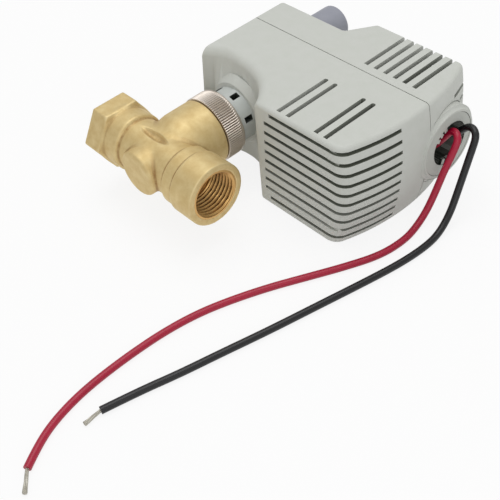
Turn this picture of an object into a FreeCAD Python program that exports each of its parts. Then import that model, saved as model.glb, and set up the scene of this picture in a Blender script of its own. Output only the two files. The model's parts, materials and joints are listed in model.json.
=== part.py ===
# A motorized zone valve: a brass two-port valve, its knurled union nut and collar,
# and the plastic actuator with motor, gear train, cam, plunger and manual lever.
# Valve frame: X along the pipe, Y along the valve's stem towards the actuator, Z up.
# The frame used for the files has its origin under the middle of the whole part.
import FreeCAD, Part
import math
import os
import re
import Sketcher
from FreeCAD import Placement, Rotation, Vector

doc = FreeCAD.newDocument("ZoneValve")
sheet = doc.addObject("Spreadsheet::Sheet", "Sizes")

# Driving dimensions in millimetres, angles in degrees, numbers of teeth and copies as counts.
sizes = {
    # how far one form reaches into the form that it is joined to, and a cutting tool
    # past what it cuts
    "bury": 1, "past": 1,
    # valve casting
    "pipeHalf": 33, "hexFlats": 27, "hexInner": 23.5, "barrelRadius": 12.9,
    "barrelEnd": 15, "waistRadius": 11.5, "waistEnd": 13.5, "shoulderRadius": 12.8,
    "shoulderRun": 1,
    "spigotStart": 21, "spigotRadius": 13.6, "rimChamfer": 0.8,
    "portRadius": 9.9, "portDepth": 14, "portSeat": 1.5, "passageRadius": 5,
    "crossRadius": 4, "inletShift": 5, "outletShift": 6, "bonnetRadius": 14.5,
    "bonnetFoot": 2, "bonnetFootRadius": 11,
    "bonnetStart": 6.5, "bonnetTop": 23.9, "bossRadius": 10, "bossEnd": 13.6,
    "bossEdge": 1.6, "lowerChamberRadius": 6.5, "lowerChamberEnd": 9,
    "seatRadius": 5, "seatHalf": 1, "bonnetBore": 9, "neckRadius": 12.6, "neckTop": 29.6,
    # valve trim
    "plugRadius": 6.5, "plugBase": 2.5, "plugTop": 5, "sealRadius": 6.3, "sealLift": 0.05,
    "stemRadius": 1.5, "stemTop": 34, "insertStart": 14, "insertTop": 24,
    "ringCord": 2, "ringPlace": 18, "capRadius": 5, "capBase": 31.2, "capTop": 33,
    "stemWire": 0.9, "stemCoilRadius": 3.4, "stemCoils": 4.5,
    # union nut and collar
    "nutRadius": 14.9, "nutStart": 24, "nutTop": 33.3, "nutChamfer": 0.8,
    "nutLip": 2, "lipRadius": 11.8, "flangeThick": 1.5,
    "collarRadius": 11.6, "collarBore": 8.5, "collarTop": 52.5, "collarFlange": 12.5,
    "beltRadius": 12.1, "beltGap": 0.4,
    "webStart": 45, "webEnd": 50, "windowStart": 36, "windowEnd": 40, "windowWide": 2.6,
    "windowCount": 7, "windowFirst": 19.5,
    "panelRadius": 12.6, "panelStart": 34, "panelEnd": 41, "panelFrom": -30, "panelTo": 88,
    "clipThick": 0.8, "clipRadius": 13.6, "clipSeat": 10.9,
    # housing
    "halfDepth": 25, "lowDrop": 1.2, "wall": 2.2, "leftEnd": 17.7, "frontFace": 29.3,
    "rearFace": 101, "leftRear": 88.7, "stepStart": 19, "stepEnd": 27, "blankEnd": 90,
    "barrelAxis": -20.8, "barrelLift": 5.1, "crownRadius": 100.8, "crownPlace": 66,
    "crownArc": 98, "cornerRadius": 6, "rearCorner": 3, "stepCorner": 2, "rimRadius": 2,
    "farRim": 1.3, "lowRim": 1.5,
    "scoopX": 1.5, "scoopY": 18.5, "scoopRadius": 26.5, "scoopWall": 6.5, "scoopFlare": 4,
    "scoopFlareLow": 1.5, "scoopFrontEdge": 2, "seam": 71.7, "seamGap": 0.4, "lipThick": 1.1,
    "flangeTop": 41, "flangeRadius": 13.9, "flangeFoot": 16.6, "flangeFootPlace": 44.2,
    "collarGap": 0.1,
    # housing slots
    "slotPitch": 4.9, "sideSlot": 1.6, "sideSlots": 10, "sideSlotLeft": 28.9,
    "sideSlotDrift": 0.28, "sideSlotShort": 2.8, "sideSlotRear": 55.7, "topSlot": 2,
    "topSlotFirst": 37.9, "topSlotFront": 31.1, "topSlotRear": 58.5, "coverSlotFirst": 42.6,
    "coverSlotFront": 75.8, "coverSlots": 6, "coverSlotDown": 12,
    "cornerSlotUpper": 90, "cornerSlotLower": 95.5, "cornerSlotFace": 8,
    # cable entry
    "entryY": 83, "entryEnd": 80.7, "entryRadius": 16.6, "entryBore": 14.25,
    "entryRoot": 72, "entryEdge": 1.5, "apronRadius": 18, "coverGap": 0.3, "bushGap": 0.2,
    "bushHole": 9.75, "bushHoleY": 83.8, "bushFlange": 15.6, "bushFlangeThick": 1.5,
    "bushInset": 0.2, "toothWide": 1.8, "toothLong": 2.4, "toothThick": 1.2, "toothInset": 0.3,
    # gear plate, columns and their screws
    "plateStart": 65.6, "plateThick": 2, "plateLeft": 14, "plateRight": 70,
    "plateGap": 0.8, "postLeft": -10.5, "postRight": 67, "postHeight": 18.4,
    "postRadius": 3.4, "columnRadius": 4.2, "columnGap": 0.2, "columnFloor": 4,
    "screwRadius": 1.45, "screwHead": 2.7, "screwHeadHigh": 2.4, "screwLong": 14,
    "screwGap": 0.05, "tunnelRadius": 3.1,
    # plunger, closing spring and cam
    "rodRadius": 3, "rodStart": 34.3, "rodEnd": 76.2, "guideGap": 0.08,
    "springSeatRadius": 7.2, "springSeat": 53.2, "springSeatThick": 1.5,
    "closingWire": 1.3, "closingCoilRadius": 5, "closingCoils": 5.5,
    "keyDepth": 0.8, "keyStart": 56, "keyEnd": 71.5,
    "pinPlace": 74.6, "pinRadius": 1.2, "pinHalf": 7.7, "pinGap": 0.02,
    "camStart": 68, "camBoss": 4.5, "camHub": 9.3, "sleeveRadius": 8.1, "rampInner": 3.6,
    "rampGap": 0.06, "lift": 2.5, "swing": 60, "rampSpare": 15,
    "capDiscStart": 79.5, "capDiscEnd": 81.5, "shaftRadius": 4,
    "leverStart": 89.5, "leverHubTop": 94.2, "leverHub": 9, "gripRadius": 8,
    "gripPlace": 14, "gripTop": 104.2, "gripEdge": 1.4,
    "leverScrewHead": 3, "headRoom": 0.5, "leverScrewHigh": 1.6,
    "leverScrewLong": 9, "leverScrewRadius": 1.25,
    # gears
    "module": 0.8, "pressure": 25, "addendum": 0.8, "dedendum": 1.1, "backlash": 0.12,
    "pinionTeeth": 10, "firstTeeth": 30, "firstPinion": 10, "secondTeeth": 24,
    "secondPinion": 10, "camTeeth": 41, "camBack": 9, "camFore": 2,
    "gearWide": 2.5, "layerGap": 0.5, "boreGap": 0.05, "gearPin": 1.5, "gearHub": 3,
    "rootEase": 0.1, "gearLift": 0.1, "gearClipRadius": 2.6, "gearClipThick": 0.5,
    # motor
    "canRadius": 19, "canStart": 38, "canWall": 1.2, "motorCapThick": 1.6,
    "earRadius": 2.6, "earPlace": 20.4, "earAngle": 35, "earScrew": 1.2, "earScrewHead": 2.2,
    "earScrewHigh": 1.6, "earScrewLong": 5, "bobbinBore": 8.2, "bobbinWall": 0.9,
    "bobbinFlange": 17.6, "coilRadius": 16.6, "magnetRadius": 7.5, "magnetStart": 43,
    "magnetEnd": 61, "motorShaft": 1, "bearingRadius": 2.5, "bearingLong": 2.8,
    "frontBearingLong": 4.2,
    "collarShaft": 1.8, "endPlay": 0.1,
    # lead clamp and leads
    "clampStart": 58, "clampEnd": 66, "clampTop": 88.5, "clampHalf": 9, "leadDiameter": 3,
    "tinDiameter": 2, "clampScrewPlace": 6,
}
for row, (name, number) in enumerate(sizes.items(), 1):
    sheet.set("A%d" % row, name)
    sheet.set("B%d" % row, str(number))
    sheet.setAlias("B%d" % row, name)
doc.recompute()

# Places that follow from the driving dimensions.
derived = {
    "hexCorner": "hexFlats / 2 / cos(30)",
    "lowDepth": "halfDepth + lowDrop",
    "originX": "(pipeHalf - entryEnd) / 2",
    "originY": "(hexCorner - gripTop) / 2",
    "rightSide": "barrelAxis + crownRadius",
    "rightQuarter": "0.75 * rightSide",
    "plateHalf": "halfDepth - wall - plateGap",
    "insertRadius": "bonnetBore - boreGap",
    "plateEnd": "plateStart + plateThick",
    "lipStart": "nutTop - nutLip",
    "seamFront": "seam - seamGap / 2",
    "seamRear": "seam + seamGap / 2",
    "layerOne": "camStart",
    "layerTwo": "camStart + gearWide + layerGap",
    "layerThree": "camStart + 2 * (gearWide + layerGap)",
    "camEnd": "camStart + gearWide",
    "secondX": "module * (camTeeth + secondPinion) / 2",
    "firstX": "secondX + module * (secondTeeth + firstPinion) / 2",
    "motorX": "firstX + module * (firstTeeth + pinionTeeth) / 2",
    "motorCapStart": "plateStart - motorCapThick",
    "bobbinEnd": "canStart + canWall",
    "bushFace": "entryEnd - bushInset",
    "scoopInner": "scoopRadius + scoopWall",
    "stepSlope": "(stepEnd - stepStart) / (rearFace - leftRear)",
    "stepShift": "sqrt(1 + stepSlope * stepSlope) - stepSlope",
    "shaftLower": "canStart + bearingLong + endPlay",
    "shaftUpper": "plateEnd - frontBearingLong - endPlay",
}


def bound(text):
    """The expression with each size's name turned into a reference to its cell."""
    def swap(match):
        word = match.group(0)
        if word in derived:
            return "(" + bound(derived[word]) + ")"
        return "Sizes." + word if word in sizes else word
    return re.sub(r"[A-Za-z_]\w*", swap, str(text))


def value(text):
    """The number that an expression of sizes has now."""
    result = sheet.evalExpression(bound(text))
    return float(getattr(result, "Value", result))


def tie(item, prop, text):
    """Binds a property of an object to an expression of sizes."""
    item.setExpression(prop, bound(text))


def tie_base(item, x, y, z, prop="Placement"):
    for axis, text in zip("xyz", (x, y, z)):
        tie(item, ".%s.Base.%s" % (prop, axis), text)


nodes = []


def node(item, label):
    """Makes an object the sub-part of that name and moves it into the part's frame."""
    if item.TypeId in ("Part::Cylinder", "Part::Box", "Part::Feature"):
        item = copy_of(item)
    item.Label = label
    tie_base(item, "originX", "originY", "lowDepth")
    nodes.append(item)
    return item


# Sketches, whose corners are bound to the sheet.
planes = {"XY": "XY_Plane", "XZ": "XZ_Plane", "YZ": "YZ_Plane"}


def new_sketch(body, plane, offset):
    sketch = body.newObject("Sketcher::SketchObject", "Sketch")
    support = [f for f in body.Origin.OriginFeatures if f.Role == planes[plane]]
    sketch.AttachmentSupport = [(support[0], "")]
    sketch.MapMode = "FlatFace"
    tie_base(sketch, *offset, prop="AttachmentOffset")
    return sketch


def limit(sketch, kind, geometry, point, text):
    """A distance from the sketch's origin to a point, bound to an expression."""
    number = value(text)
    if point is None:
        index = sketch.addConstraint(Sketcher.Constraint(kind, geometry, number))
    else:
        index = sketch.addConstraint(Sketcher.Constraint(kind, -1, 1, geometry, point, number))
    if re.search("[A-Za-z]", str(text)):
        sketch.setExpression("Constraints[%d]" % index, bound(text))


def draw_outline(sketch, corners):
    """A closed outline. A corner is (x, y), or (x, y, radius) where the edge that
    leaves it is an arc, turning left for a positive radius's centre on its left."""
    points = [Vector(value(c[0]), value(c[1]), 0) for c in corners]
    first = sketch.GeometryCount
    starts = []
    for i, corner in enumerate(corners):
        a = points[i]
        b = points[(i + 1) % len(points)]
        if len(corner) == 2:
            sketch.addGeometry(Part.LineSegment(a, b), False)
            starts.append((1, 2))
            continue
        radius = value(corner[2])
        chord = b - a
        left = Vector(-chord.y, chord.x, 0).normalize()
        rise = math.sqrt(max(radius ** 2 - chord.Length ** 2 / 4, 0))
        side = math.copysign(1, radius)
        centre = (a + b) / 2 + left * rise * side
        middle = centre - left * side * abs(radius)
        sketch.addGeometry(Part.Arc(a, middle, b), False)
        starts.append((1, 2) if side > 0 else (2, 1))
    for i, corner in enumerate(corners):
        before = (i - 1) % len(corners)
        sketch.addConstraint(Sketcher.Constraint(
            "Coincident", first + before, starts[before][1], first + i, starts[i][0]))
        limit(sketch, "DistanceX", first + i, starts[i][0], corner[0])
        limit(sketch, "DistanceY", first + i, starts[i][0], corner[1])
        if len(corner) == 3:
            limit(sketch, "Radius", first + i, None, str(corner[2]).lstrip("-"))


def draw_circle(sketch, x, y, radius):
    centre = Vector(value(x), value(y), 0)
    index = sketch.addGeometry(Part.Circle(centre, Vector(0, 0, 1), value(radius)), False)
    limit(sketch, "Radius", index, None, radius)
    limit(sketch, "DistanceX", index, 3, x)
    limit(sketch, "DistanceY", index, 3, y)


# Features of a body.
def new_body(name):
    return doc.addObject("PartDesign::Body", name)


def turn(body, corners, axis="Y", x="0", z="0", cut=False):
    """Revolves an outline of (radius, place along the axis) corners about an axis
    along X, Y or Z, the last two through the given x and z."""
    if axis == "Y":
        sketch = new_sketch(body, "XY", (x, "0", z))
        draw_outline(sketch, corners)
    elif axis == "X":
        sketch = new_sketch(body, "XY", ("0", "0", "0"))
        draw_outline(sketch, [(c[1], c[0]) + tuple(c[2:]) for c in corners])
    else:
        sketch = new_sketch(body, "XZ", (x, "0", z))
        draw_outline(sketch, corners)
    kind = "PartDesign::Groove" if cut else "PartDesign::Revolution"
    feature = body.newObject(kind, "Turned")
    feature.Profile = sketch
    feature.ReferenceAxis = (sketch, ["H_Axis" if axis == "X" else "V_Axis"])
    feature.Angle = 360
    return feature


def pad(body, axis, start, end, shapes, cut=False):
    """Pads or pockets outlines and circles from one place to another along an axis.
    Along Y the outline is in (x, z), along X in (y, z), along Z in (x, y)."""
    if axis == "Y":
        sketch = new_sketch(body, "XZ", ("0", "0", "-(%s)" % start))
    elif axis == "X":
        sketch = new_sketch(body, "YZ", ("0", "0", start))
    else:
        sketch = new_sketch(body, "XY", ("0", "0", start))
    for shape in shapes:
        if shape[0] == "circle":
            draw_circle(sketch, *shape[1:])
        else:
            draw_outline(sketch, shape)
    feature = body.newObject("PartDesign::Pocket" if cut else "PartDesign::Pad", "Padded")
    feature.Profile = sketch
    feature.Type = 0
    tie(feature, "Length", "(%s) - (%s)" % (end, start))
    # a pocket runs against its sketch's normal, and the XZ plane's normal is -Y
    feature.Reversed = (axis == "Y") != cut
    return feature


def blend(body, feature, radius, test):
    """A fillet of one radius on the edges that pass a test."""
    doc.recompute()
    names = ["Edge%d" % (i + 1) for i, e in enumerate(feature.Shape.Edges) if test(e)]
    fillet = body.newObject("PartDesign::Fillet", "Blend")
    fillet.Base = (feature, names)
    tie(fillet, "Radius", radius)
    return fillet


# Primitives, booleans and fillets outside a body.
def rod(radius, start, end, x="0", z="0", axis="Y"):
    """A cylinder along Y through (x, z), or along X through (y = x, z)."""
    item = doc.addObject("Part::Cylinder", "Rod")
    tie(item, "Radius", radius)
    tie(item, "Height", "(%s) - (%s)" % (end, start))
    if axis == "Y":
        item.Placement = Placement(Vector(), Rotation(Vector(1, 0, 0), -90))
        tie_base(item, x, start, z)
    else:
        item.Placement = Placement(Vector(), Rotation(Vector(0, 1, 0), 90))
        tie_base(item, start, x, z)
    return item


def block(x0, x1, y0, y1, z0, z1):
    item = doc.addObject("Part::Box", "Block")
    tie(item, "Length", "(%s) - (%s)" % (x1, x0))
    tie(item, "Width", "(%s) - (%s)" % (y1, y0))
    tie(item, "Height", "(%s) - (%s)" % (z1, z0))
    tie_base(item, x0, y0, z0)
    return item


def join(*items):
    result = doc.addObject("Part::MultiFuse", "Joined")
    result.Shapes = list(items)
    return result


def cut(base, *tools):
    result = doc.addObject("Part::Cut", "Trimmed")
    result.Base = base
    result.Tool = tools[0] if len(tools) == 1 else join(*tools)
    return result


def overlap(*items):
    result = doc.addObject("Part::MultiCommon", "Shared")
    result.Shapes = list(items)
    return result


def copy_of(item):
    """The same shape again, for a second use in another boolean."""
    result = doc.addObject("Part::Compound", "Copy")
    result.Links = [item]
    return result


def round_edges(base, rules):
    """A fillet outside a body: each edge takes the radius of the first test it passes."""
    doc.recompute()
    rows = []
    for i, edge in enumerate(base.Shape.Edges):
        for test, radius in rules:
            if test(edge):
                rows.append((i + 1, value(radius), value(radius)))
                break
    result = doc.addObject("Part::Fillet", "Rounded")
    result.Base = base
    result.Edges = rows
    return result


def computed(shape):
    """An object that holds a shape worked out in this file."""
    item = doc.addObject("Part::Feature", "Computed")
    item.Shape = shape
    return item


def washer(label, outer, inner, start, end, x="0", z="0", axis="Y"):
    """A ring or bush turned about an axis."""
    body = new_body(label)
    corners = [(inner, start), (outer, start), (outer, end), (inner, end)]
    if axis == "X":
        corners.reverse()
    turn(body, corners, axis, x, z)
    return node(body, label)


# A measured place counts as the same within this distance.
near = 0.05


# The brass valve.
def valve_body():
    body = new_body("valve_body")
    hexagon = [("hexCorner * cos(%d)" % a, "hexCorner * sin(%d)" % a) for a in range(0, 360, 60)]
    turn(body, [
        ("barrelRadius", "-hexInner - bury"),
        ("barrelRadius", "-barrelEnd"), ("waistRadius", "-waistEnd"),
        ("waistRadius", "waistEnd"), ("shoulderRadius", "waistEnd + shoulderRun"),
        ("shoulderRadius", "spigotStart - rimChamfer"), ("spigotRadius", "spigotStart"),
        ("spigotRadius", "pipeHalf - rimChamfer"), ("spigotRadius - rimChamfer", "pipeHalf"),
        ("0", "pipeHalf"), ("0", "-hexInner - bury")], axis="X")
    pad(body, "X", "-pipeHalf", "-hexInner", [hexagon])
    turn(body, [
        ("0", "-bossEnd"), ("bossRadius - bossEdge", "-bossEnd"),
        ("bossRadius", "-bossEnd + bossEdge"), ("bossRadius", "0"),
        ("bonnetFootRadius", "bonnetFoot"), ("bonnetRadius", "bonnetStart"),
        ("bonnetRadius", "bonnetTop"), ("neckRadius", "bonnetTop"),
        ("neckRadius", "neckTop"), ("0", "neckTop")])
    # ports, their threads' bores with the seat cone at the bottom
    for side in ("-", ""):
        turn(body, [
            ("0", side + "(pipeHalf - portDepth - portSeat)"),
            ("passageRadius", side + "(pipeHalf - portDepth - portSeat)"),
            ("portRadius", side + "(pipeHalf - portDepth)"),
            ("portRadius", side + "pipeHalf"), ("0", side + "pipeHalf")], axis="X", cut=True)
    # inlet below the seat, outlet above it
    pad(body, "X", "-(pipeHalf - portDepth)", "0",
        [("circle", "-inletShift", "0", "crossRadius")], cut=True)
    pad(body, "X", "0", "pipeHalf - portDepth",
        [("circle", "outletShift", "0", "crossRadius")], cut=True)
    turn(body, [
        ("0", "-lowerChamberEnd"), ("lowerChamberRadius", "-lowerChamberEnd"),
        ("lowerChamberRadius", "-seatHalf"), ("seatRadius", "-seatHalf"),
        ("seatRadius", "seatHalf"), ("bonnetBore", "seatHalf"),
        ("bonnetBore", "neckTop"), ("0", "neckTop")], cut=True)
    node(body, "valve_body")


def valve_trim():
    gland = new_body("gland_insert")
    turn(gland, [
        ("stemRadius + boreGap", "insertStart"), ("insertRadius", "insertStart"),
        ("insertRadius", "ringPlace - ringCord"), ("insertRadius - ringCord / 2", "ringPlace - ringCord"),
        ("insertRadius - ringCord / 2", "ringPlace - ringCord * 2 / 5"),
        ("insertRadius", "ringPlace - ringCord * 2 / 5"), ("insertRadius", "insertTop"),
        ("stemRadius + ringCord", "insertTop"), ("stemRadius + ringCord", "ringPlace"),
        ("stemRadius + boreGap", "ringPlace")])
    node(gland, "gland_insert")
    washer("insert_seal", "insertRadius", "insertRadius - ringCord / 2",
           "ringPlace - ringCord", "ringPlace - ringCord * 2 / 5")
    washer("stem_seal", "stemRadius + ringCord", "stemRadius + boreGap",
           "ringPlace", "ringPlace + ringCord")
    washer("gland_bush", "stemRadius + ringCord", "stemRadius + boreGap",
           "ringPlace + ringCord", "insertTop")
    washer("valve_plug", "plugRadius", "stemRadius", "plugBase", "plugTop")
    washer("plug_seal", "sealRadius", "stemRadius", "seatHalf + sealLift", "plugBase")
    node(rod("stemRadius", "seatHalf + sealLift", "stemTop"), "valve_stem")
    washer("stem_cap", "capRadius", "stemRadius", "capBase", "capTop")


# The union nut and the collar that it clamps.
def coupling_nut():
    body = new_body("coupling_nut")
    turn(body, [
        ("neckRadius + guideGap", "nutStart"), ("nutRadius - nutChamfer", "nutStart"),
        ("nutRadius", "nutStart + nutChamfer"), ("nutRadius", "nutTop - nutChamfer"),
        ("nutRadius - nutChamfer", "nutTop"), ("lipRadius", "nutTop"),
        ("lipRadius", "lipStart"), ("neckRadius + guideGap", "lipStart")])
    node(body, "coupling_nut")


def mounting_collar():
    tube = new_body("CollarTube")
    turn(tube, [
        ("collarBore", "neckTop"), ("collarFlange", "neckTop"),
        ("collarFlange", "neckTop + flangeThick"), ("collarRadius", "neckTop + flangeThick"),
        ("collarRadius", "nutTop + beltGap"), ("beltRadius", "nutTop + beltGap"),
        ("beltRadius", "flangeTop"), ("collarRadius", "flangeTop"),
        ("collarRadius", "collarTop - clipThick"), ("clipSeat", "collarTop - clipThick"),
        ("clipSeat", "collarTop"), ("collarBore", "collarTop")])
    turn(tube, [
        ("rodRadius + guideGap", "webStart"), ("collarBore + bury", "webStart"),
        ("collarBore + bury", "webEnd"), ("rodRadius + guideGap", "webEnd")])
    panel = new_body("CollarPanel")
    sketch = new_sketch(panel, "XY", ("0", "0", "0"))
    draw_outline(sketch, [
        ("collarBore + bury", "panelStart"), ("panelRadius", "panelStart"),
        ("panelRadius", "panelEnd"), ("collarBore + bury", "panelEnd")])
    feature = panel.newObject("PartDesign::Revolution", "Turned")
    feature.Profile = sketch
    feature.ReferenceAxis = (sketch, ["V_Axis"])
    tie(feature, "Angle", "panelTo - panelFrom")
    # turning about +Y takes +X towards -Z, so the panel starts at its upper edge
    panel.Placement = Placement(Vector(), Rotation(Vector(0, 1, 0), -value("panelTo")))
    windows = []
    pitch = 360 / value("windowCount")
    for k in range(int(value("windowCount"))):
        window = block("collarBore - past", "panelRadius + past", "windowStart",
                       "windowEnd", "-windowWide / 2", "windowWide / 2")
        turned = doc.addObject("Part::Compound", "Window")
        turned.Links = [window]
        angle = value("windowFirst") + pitch * k
        turned.Placement = Placement(Vector(), Rotation(Vector(0, 1, 0), -angle))
        windows.append(turned)
    node(cut(join(tube, panel), *windows), "mounting_collar")
    washer("collar_circlip", "clipRadius", "clipSeat", "collarTop - clipThick", "collarTop")


# The housing's outer form and its cavity.
def plan(inset):
    return [
        ("-leftEnd + " + inset, "frontFace + " + inset),
        ("blankEnd", "frontFace + " + inset), ("blankEnd", "rearFace - " + inset),
        ("stepEnd + stepShift * " + inset, "rearFace - " + inset),
        ("stepStart + stepShift * " + inset, "leftRear - " + inset),
        ("-leftEnd + " + inset, "leftRear - " + inset)]


def crown(inset, place):
    """Radius of the barrel-shaped right wall at a place along Y, about the barrel's axis."""
    return ("crownRadius - crownArc + sqrt((crownArc - %s)^2 - (%s - crownPlace)^2)"
            % (inset, place))


def shell_block(inset):
    """The plan padded to the depth, its right end turned to the barrel."""
    body = new_body("Form")
    pad(body, "Z", "-lowDepth + " + inset, "halfDepth - " + inset, [plan(inset)])
    low = "frontFace - past"
    high = "rearFace + past"
    far = "blankEnd - barrelAxis + halfDepth"
    feature = turn(body, [
        (crown(inset, low), low, "crownArc - " + inset), (crown(inset, high), high),
        (far, high), (far, low)], x="barrelAxis", z="barrelLift", cut=True)

    def is_front_corner(edge):
        box = edge.BoundBox
        front = abs(edge.CenterOfMass.y - value("frontFace + " + inset)) < near
        return front and box.XMax > value("rightQuarter") and is_upright(edge)
    blend(body, feature, "cornerRadius - " + inset, is_front_corner)
    return body


def is_upright(edge):
    """True for an edge that runs up at least a quarter of the form's depth."""
    return edge.BoundBox.ZLength > value("halfDepth / 2")


def on_rim(edge):
    box = edge.BoundBox
    level = box.ZMin
    at_end = abs(level - value("halfDepth")) < near or abs(level + value("lowDepth")) < near
    return box.ZLength < near and at_end


def upright_at(x, y):
    def test(edge):
        c = edge.CenterOfMass
        return abs(c.x - value(x)) < near and abs(c.y - value(y)) < near and is_upright(edge)
    return test


def is_front_or_right(edge):
    c = edge.CenterOfMass
    front = c.y < value("frontFace + cornerRadius")
    right = c.x > value("rightQuarter") and c.y < value("rearFace - rearCorner")
    return on_rim(edge) and (front or right)


def is_low_rim(edge):
    return on_rim(edge) and edge.CenterOfMass.z < 0


def is_rear_right(edge):
    c = edge.CenterOfMass
    return c.x > value("rightQuarter") and abs(c.y - value("rearFace")) < near and is_upright(edge)


def scoop_cutter(radius, flares=None):
    """A cylinder about the scoop's axis, whose lower and upper ends may flare like a
    trumpet, each by its own amount."""
    body = new_body("Scoop")
    if flares:
        low, high = flares
        corners = [
            ("0", "-lowDepth - past"), ("%s + %s" % (radius, low), "-lowDepth - past"),
            ("%s + %s" % (radius, low), "-lowDepth", "-" + low), (radius, "-lowDepth + " + low),
            (radius, "halfDepth - " + high, "-" + high), ("%s + %s" % (radius, high), "halfDepth"),
            ("%s + %s" % (radius, high), "halfDepth + past"), ("0", "halfDepth + past")]
    else:
        corners = [("0", "-lowDepth"), (radius, "-lowDepth"), (radius, "halfDepth"),
                   ("0", "halfDepth")]
    sketch = new_sketch(body, "XZ", ("scoopX", "0", "-scoopY"))
    draw_outline(sketch, corners)
    feature = body.newObject("PartDesign::Revolution", "Turned")
    feature.Profile = sketch
    feature.ReferenceAxis = (sketch, ["V_Axis"])
    feature.Angle = 360
    return body


def outer_form():
    rims = round_edges(shell_block("0"), [
        (upright_at("stepStart", "leftRear"), "stepCorner"),
        (upright_at("stepEnd", "rearFace"), "stepCorner"),
        (upright_at("-leftEnd", "leftRear"), "stepCorner"),
        (is_rear_right, "rearCorner"),
        (is_low_rim, "lowRim"), (is_front_or_right, "rimRadius"), (on_rim, "farRim")])
    scooped = cut(rims, scoop_cutter("scoopRadius", ("scoopFlareLow", "scoopFlare")))

    def is_front_edge(edge):
        box = edge.BoundBox
        front = (box.YMax < value("frontFace") + near
                 and box.XMax < value("scoopX + scoopRadius + past"))
        return front and abs(edge.CenterOfMass.z) < value("halfDepth - farRim")
    return round_edges(scooped, [(is_front_edge, "scoopFrontEdge")])


def inner_form():
    return cut(shell_block("wall"), scoop_cutter("scoopInner"))


def lip_form():
    return cut(shell_block("lipThick"), scoop_cutter("scoopRadius + lipThick"))


def slots(pitch, count, make):
    return [make("%s * %d" % (pitch, k), k) for k in range(count)]


def front_slots():
    """The slots round the right front corner and the four in the upper face."""
    count = int(value("sideSlots"))

    def side(step, k):
        level = "%s - slotPitch * (sideSlots - 1) / 2" % step
        left = "sideSlotLeft + sideSlotDrift * %d" % k
        if k in (0, count - 1):
            left += " + sideSlotShort"
        return block(left, "blankEnd", "frontFace - past", "sideSlotRear",
                     level + " - sideSlot / 2", level + " + sideSlot / 2")

    def top(k):
        x = "topSlotFirst + slotPitch * %d" % k
        floor = "halfDepth - wall - past"
        end = doc.addObject("Part::Cylinder", "SlotEnd")
        tie(end, "Radius", "topSlot / 2")
        tie(end, "Height", "wall + 2 * past")
        tie_base(end, x, "topSlotRear - topSlot / 2", floor)
        return join(end, block(x + " - topSlot / 2", x + " + topSlot / 2", "topSlotFront",
                               "topSlotRear - topSlot / 2", floor, "halfDepth + past"))
    return slots("slotPitch", count, side) + [top(k) for k in (0, 1, 4, 5)]


def cover_slots():
    def rear(step, k):
        x = "coverSlotFirst + " + step
        sides = (x + " - topSlot / 2", x + " + topSlot / 2")
        return [block(*sides, "coverSlotFront", "rearFace + past", "halfDepth - wall - past",
                      "halfDepth + past"),
                block(*sides, "rearFace - wall - past", "rearFace + past",
                      "halfDepth - coverSlotDown", "halfDepth + past")]
    tools = sum(slots("slotPitch", int(value("coverSlots")), rear), [])
    for side in ("", "-"):
        for skipped, front in ((3, "cornerSlotUpper"), (5, "cornerSlotLower")):
            z = "%sslotPitch * (sideSlots - %d) / 2" % (side, skipped)
            tools.append(block(
                "rightSide - wall - cornerSlotFace", "blankEnd", front,
                "rearFace + past", z + " - sideSlot / 2", z + " + sideSlot / 2"))
    return tools


post_places = [(x, side + "postHeight") for x in ("postLeft", "postRight") for side in ("", "-")]


def below_entry(radius):
    """The lower half of a cylinder about the cable entry, through the right wall."""
    return overlap(rod(radius, "entryRoot", "blankEnd", "entryY", "0", "X"),
                   block("entryRoot", "blankEnd", "seamRear", "rearFace + past",
                         "-lowDepth - past", "0"))


def across_form(start, end):
    """A block that takes in the whole form between two places along Y."""
    return block("-leftEnd - past", "blankEnd", start, end, "-lowDepth - past",
                 "halfDepth + past")


def front_housing():
    outer = outer_form()
    inner = inner_form()
    shell = cut(outer, inner)
    front = overlap(shell, across_form("frontFace - past", "seamFront"))
    lip = overlap(cut(lip_form(), copy_of(inner)),
                  across_form("seamFront", "seamRear"))
    slotted = cut(front, *front_slots())
    cone = new_body("FlangeBoss")
    turn(cone, [("0", "flangeTop"), ("flangeRadius", "flangeTop"),
                ("flangeFoot", "flangeFootPlace"), ("flangeFoot", "flangeFootPlace + scoopWall"),
                ("0", "flangeFootPlace + scoopWall")])
    posts = [rod("postRadius", "frontFace + wall / 2" if x == "postRight" else
                 "scoopY + scoopRadius", "plateStart", x, z) for x, z in post_places]
    inside = overlap(join(*posts), copy_of(outer))
    ring = new_body("EntryRing")
    turn(ring, [("entryBore", "entryRoot"), ("entryRadius", "entryRoot"),
                ("entryRadius", "entryEnd - entryEdge", "entryEdge"),
                ("entryRadius - entryEdge", "entryEnd"), ("entryBore", "entryEnd")], axis="X")
    tie(ring, ".Placement.Base.y", "entryY")
    apron = overlap(copy_of(shell), below_entry("apronRadius"))
    whole = join(slotted, lip, cone, inside, ring, apron)
    tools = [rod("collarRadius + collarGap", "frontFace", "plateStart")]
    tools.append(rod("entryBore", "entryRoot - past", "entryEnd + past", "entryY", "0", "X"))
    tools += [rod("screwRadius + screwGap", "plateStart - screwLong", "plateStart", x, z)
              for x, z in post_places]
    node(cut(whole, *tools), "front_housing")
    return outer, inner


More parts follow.
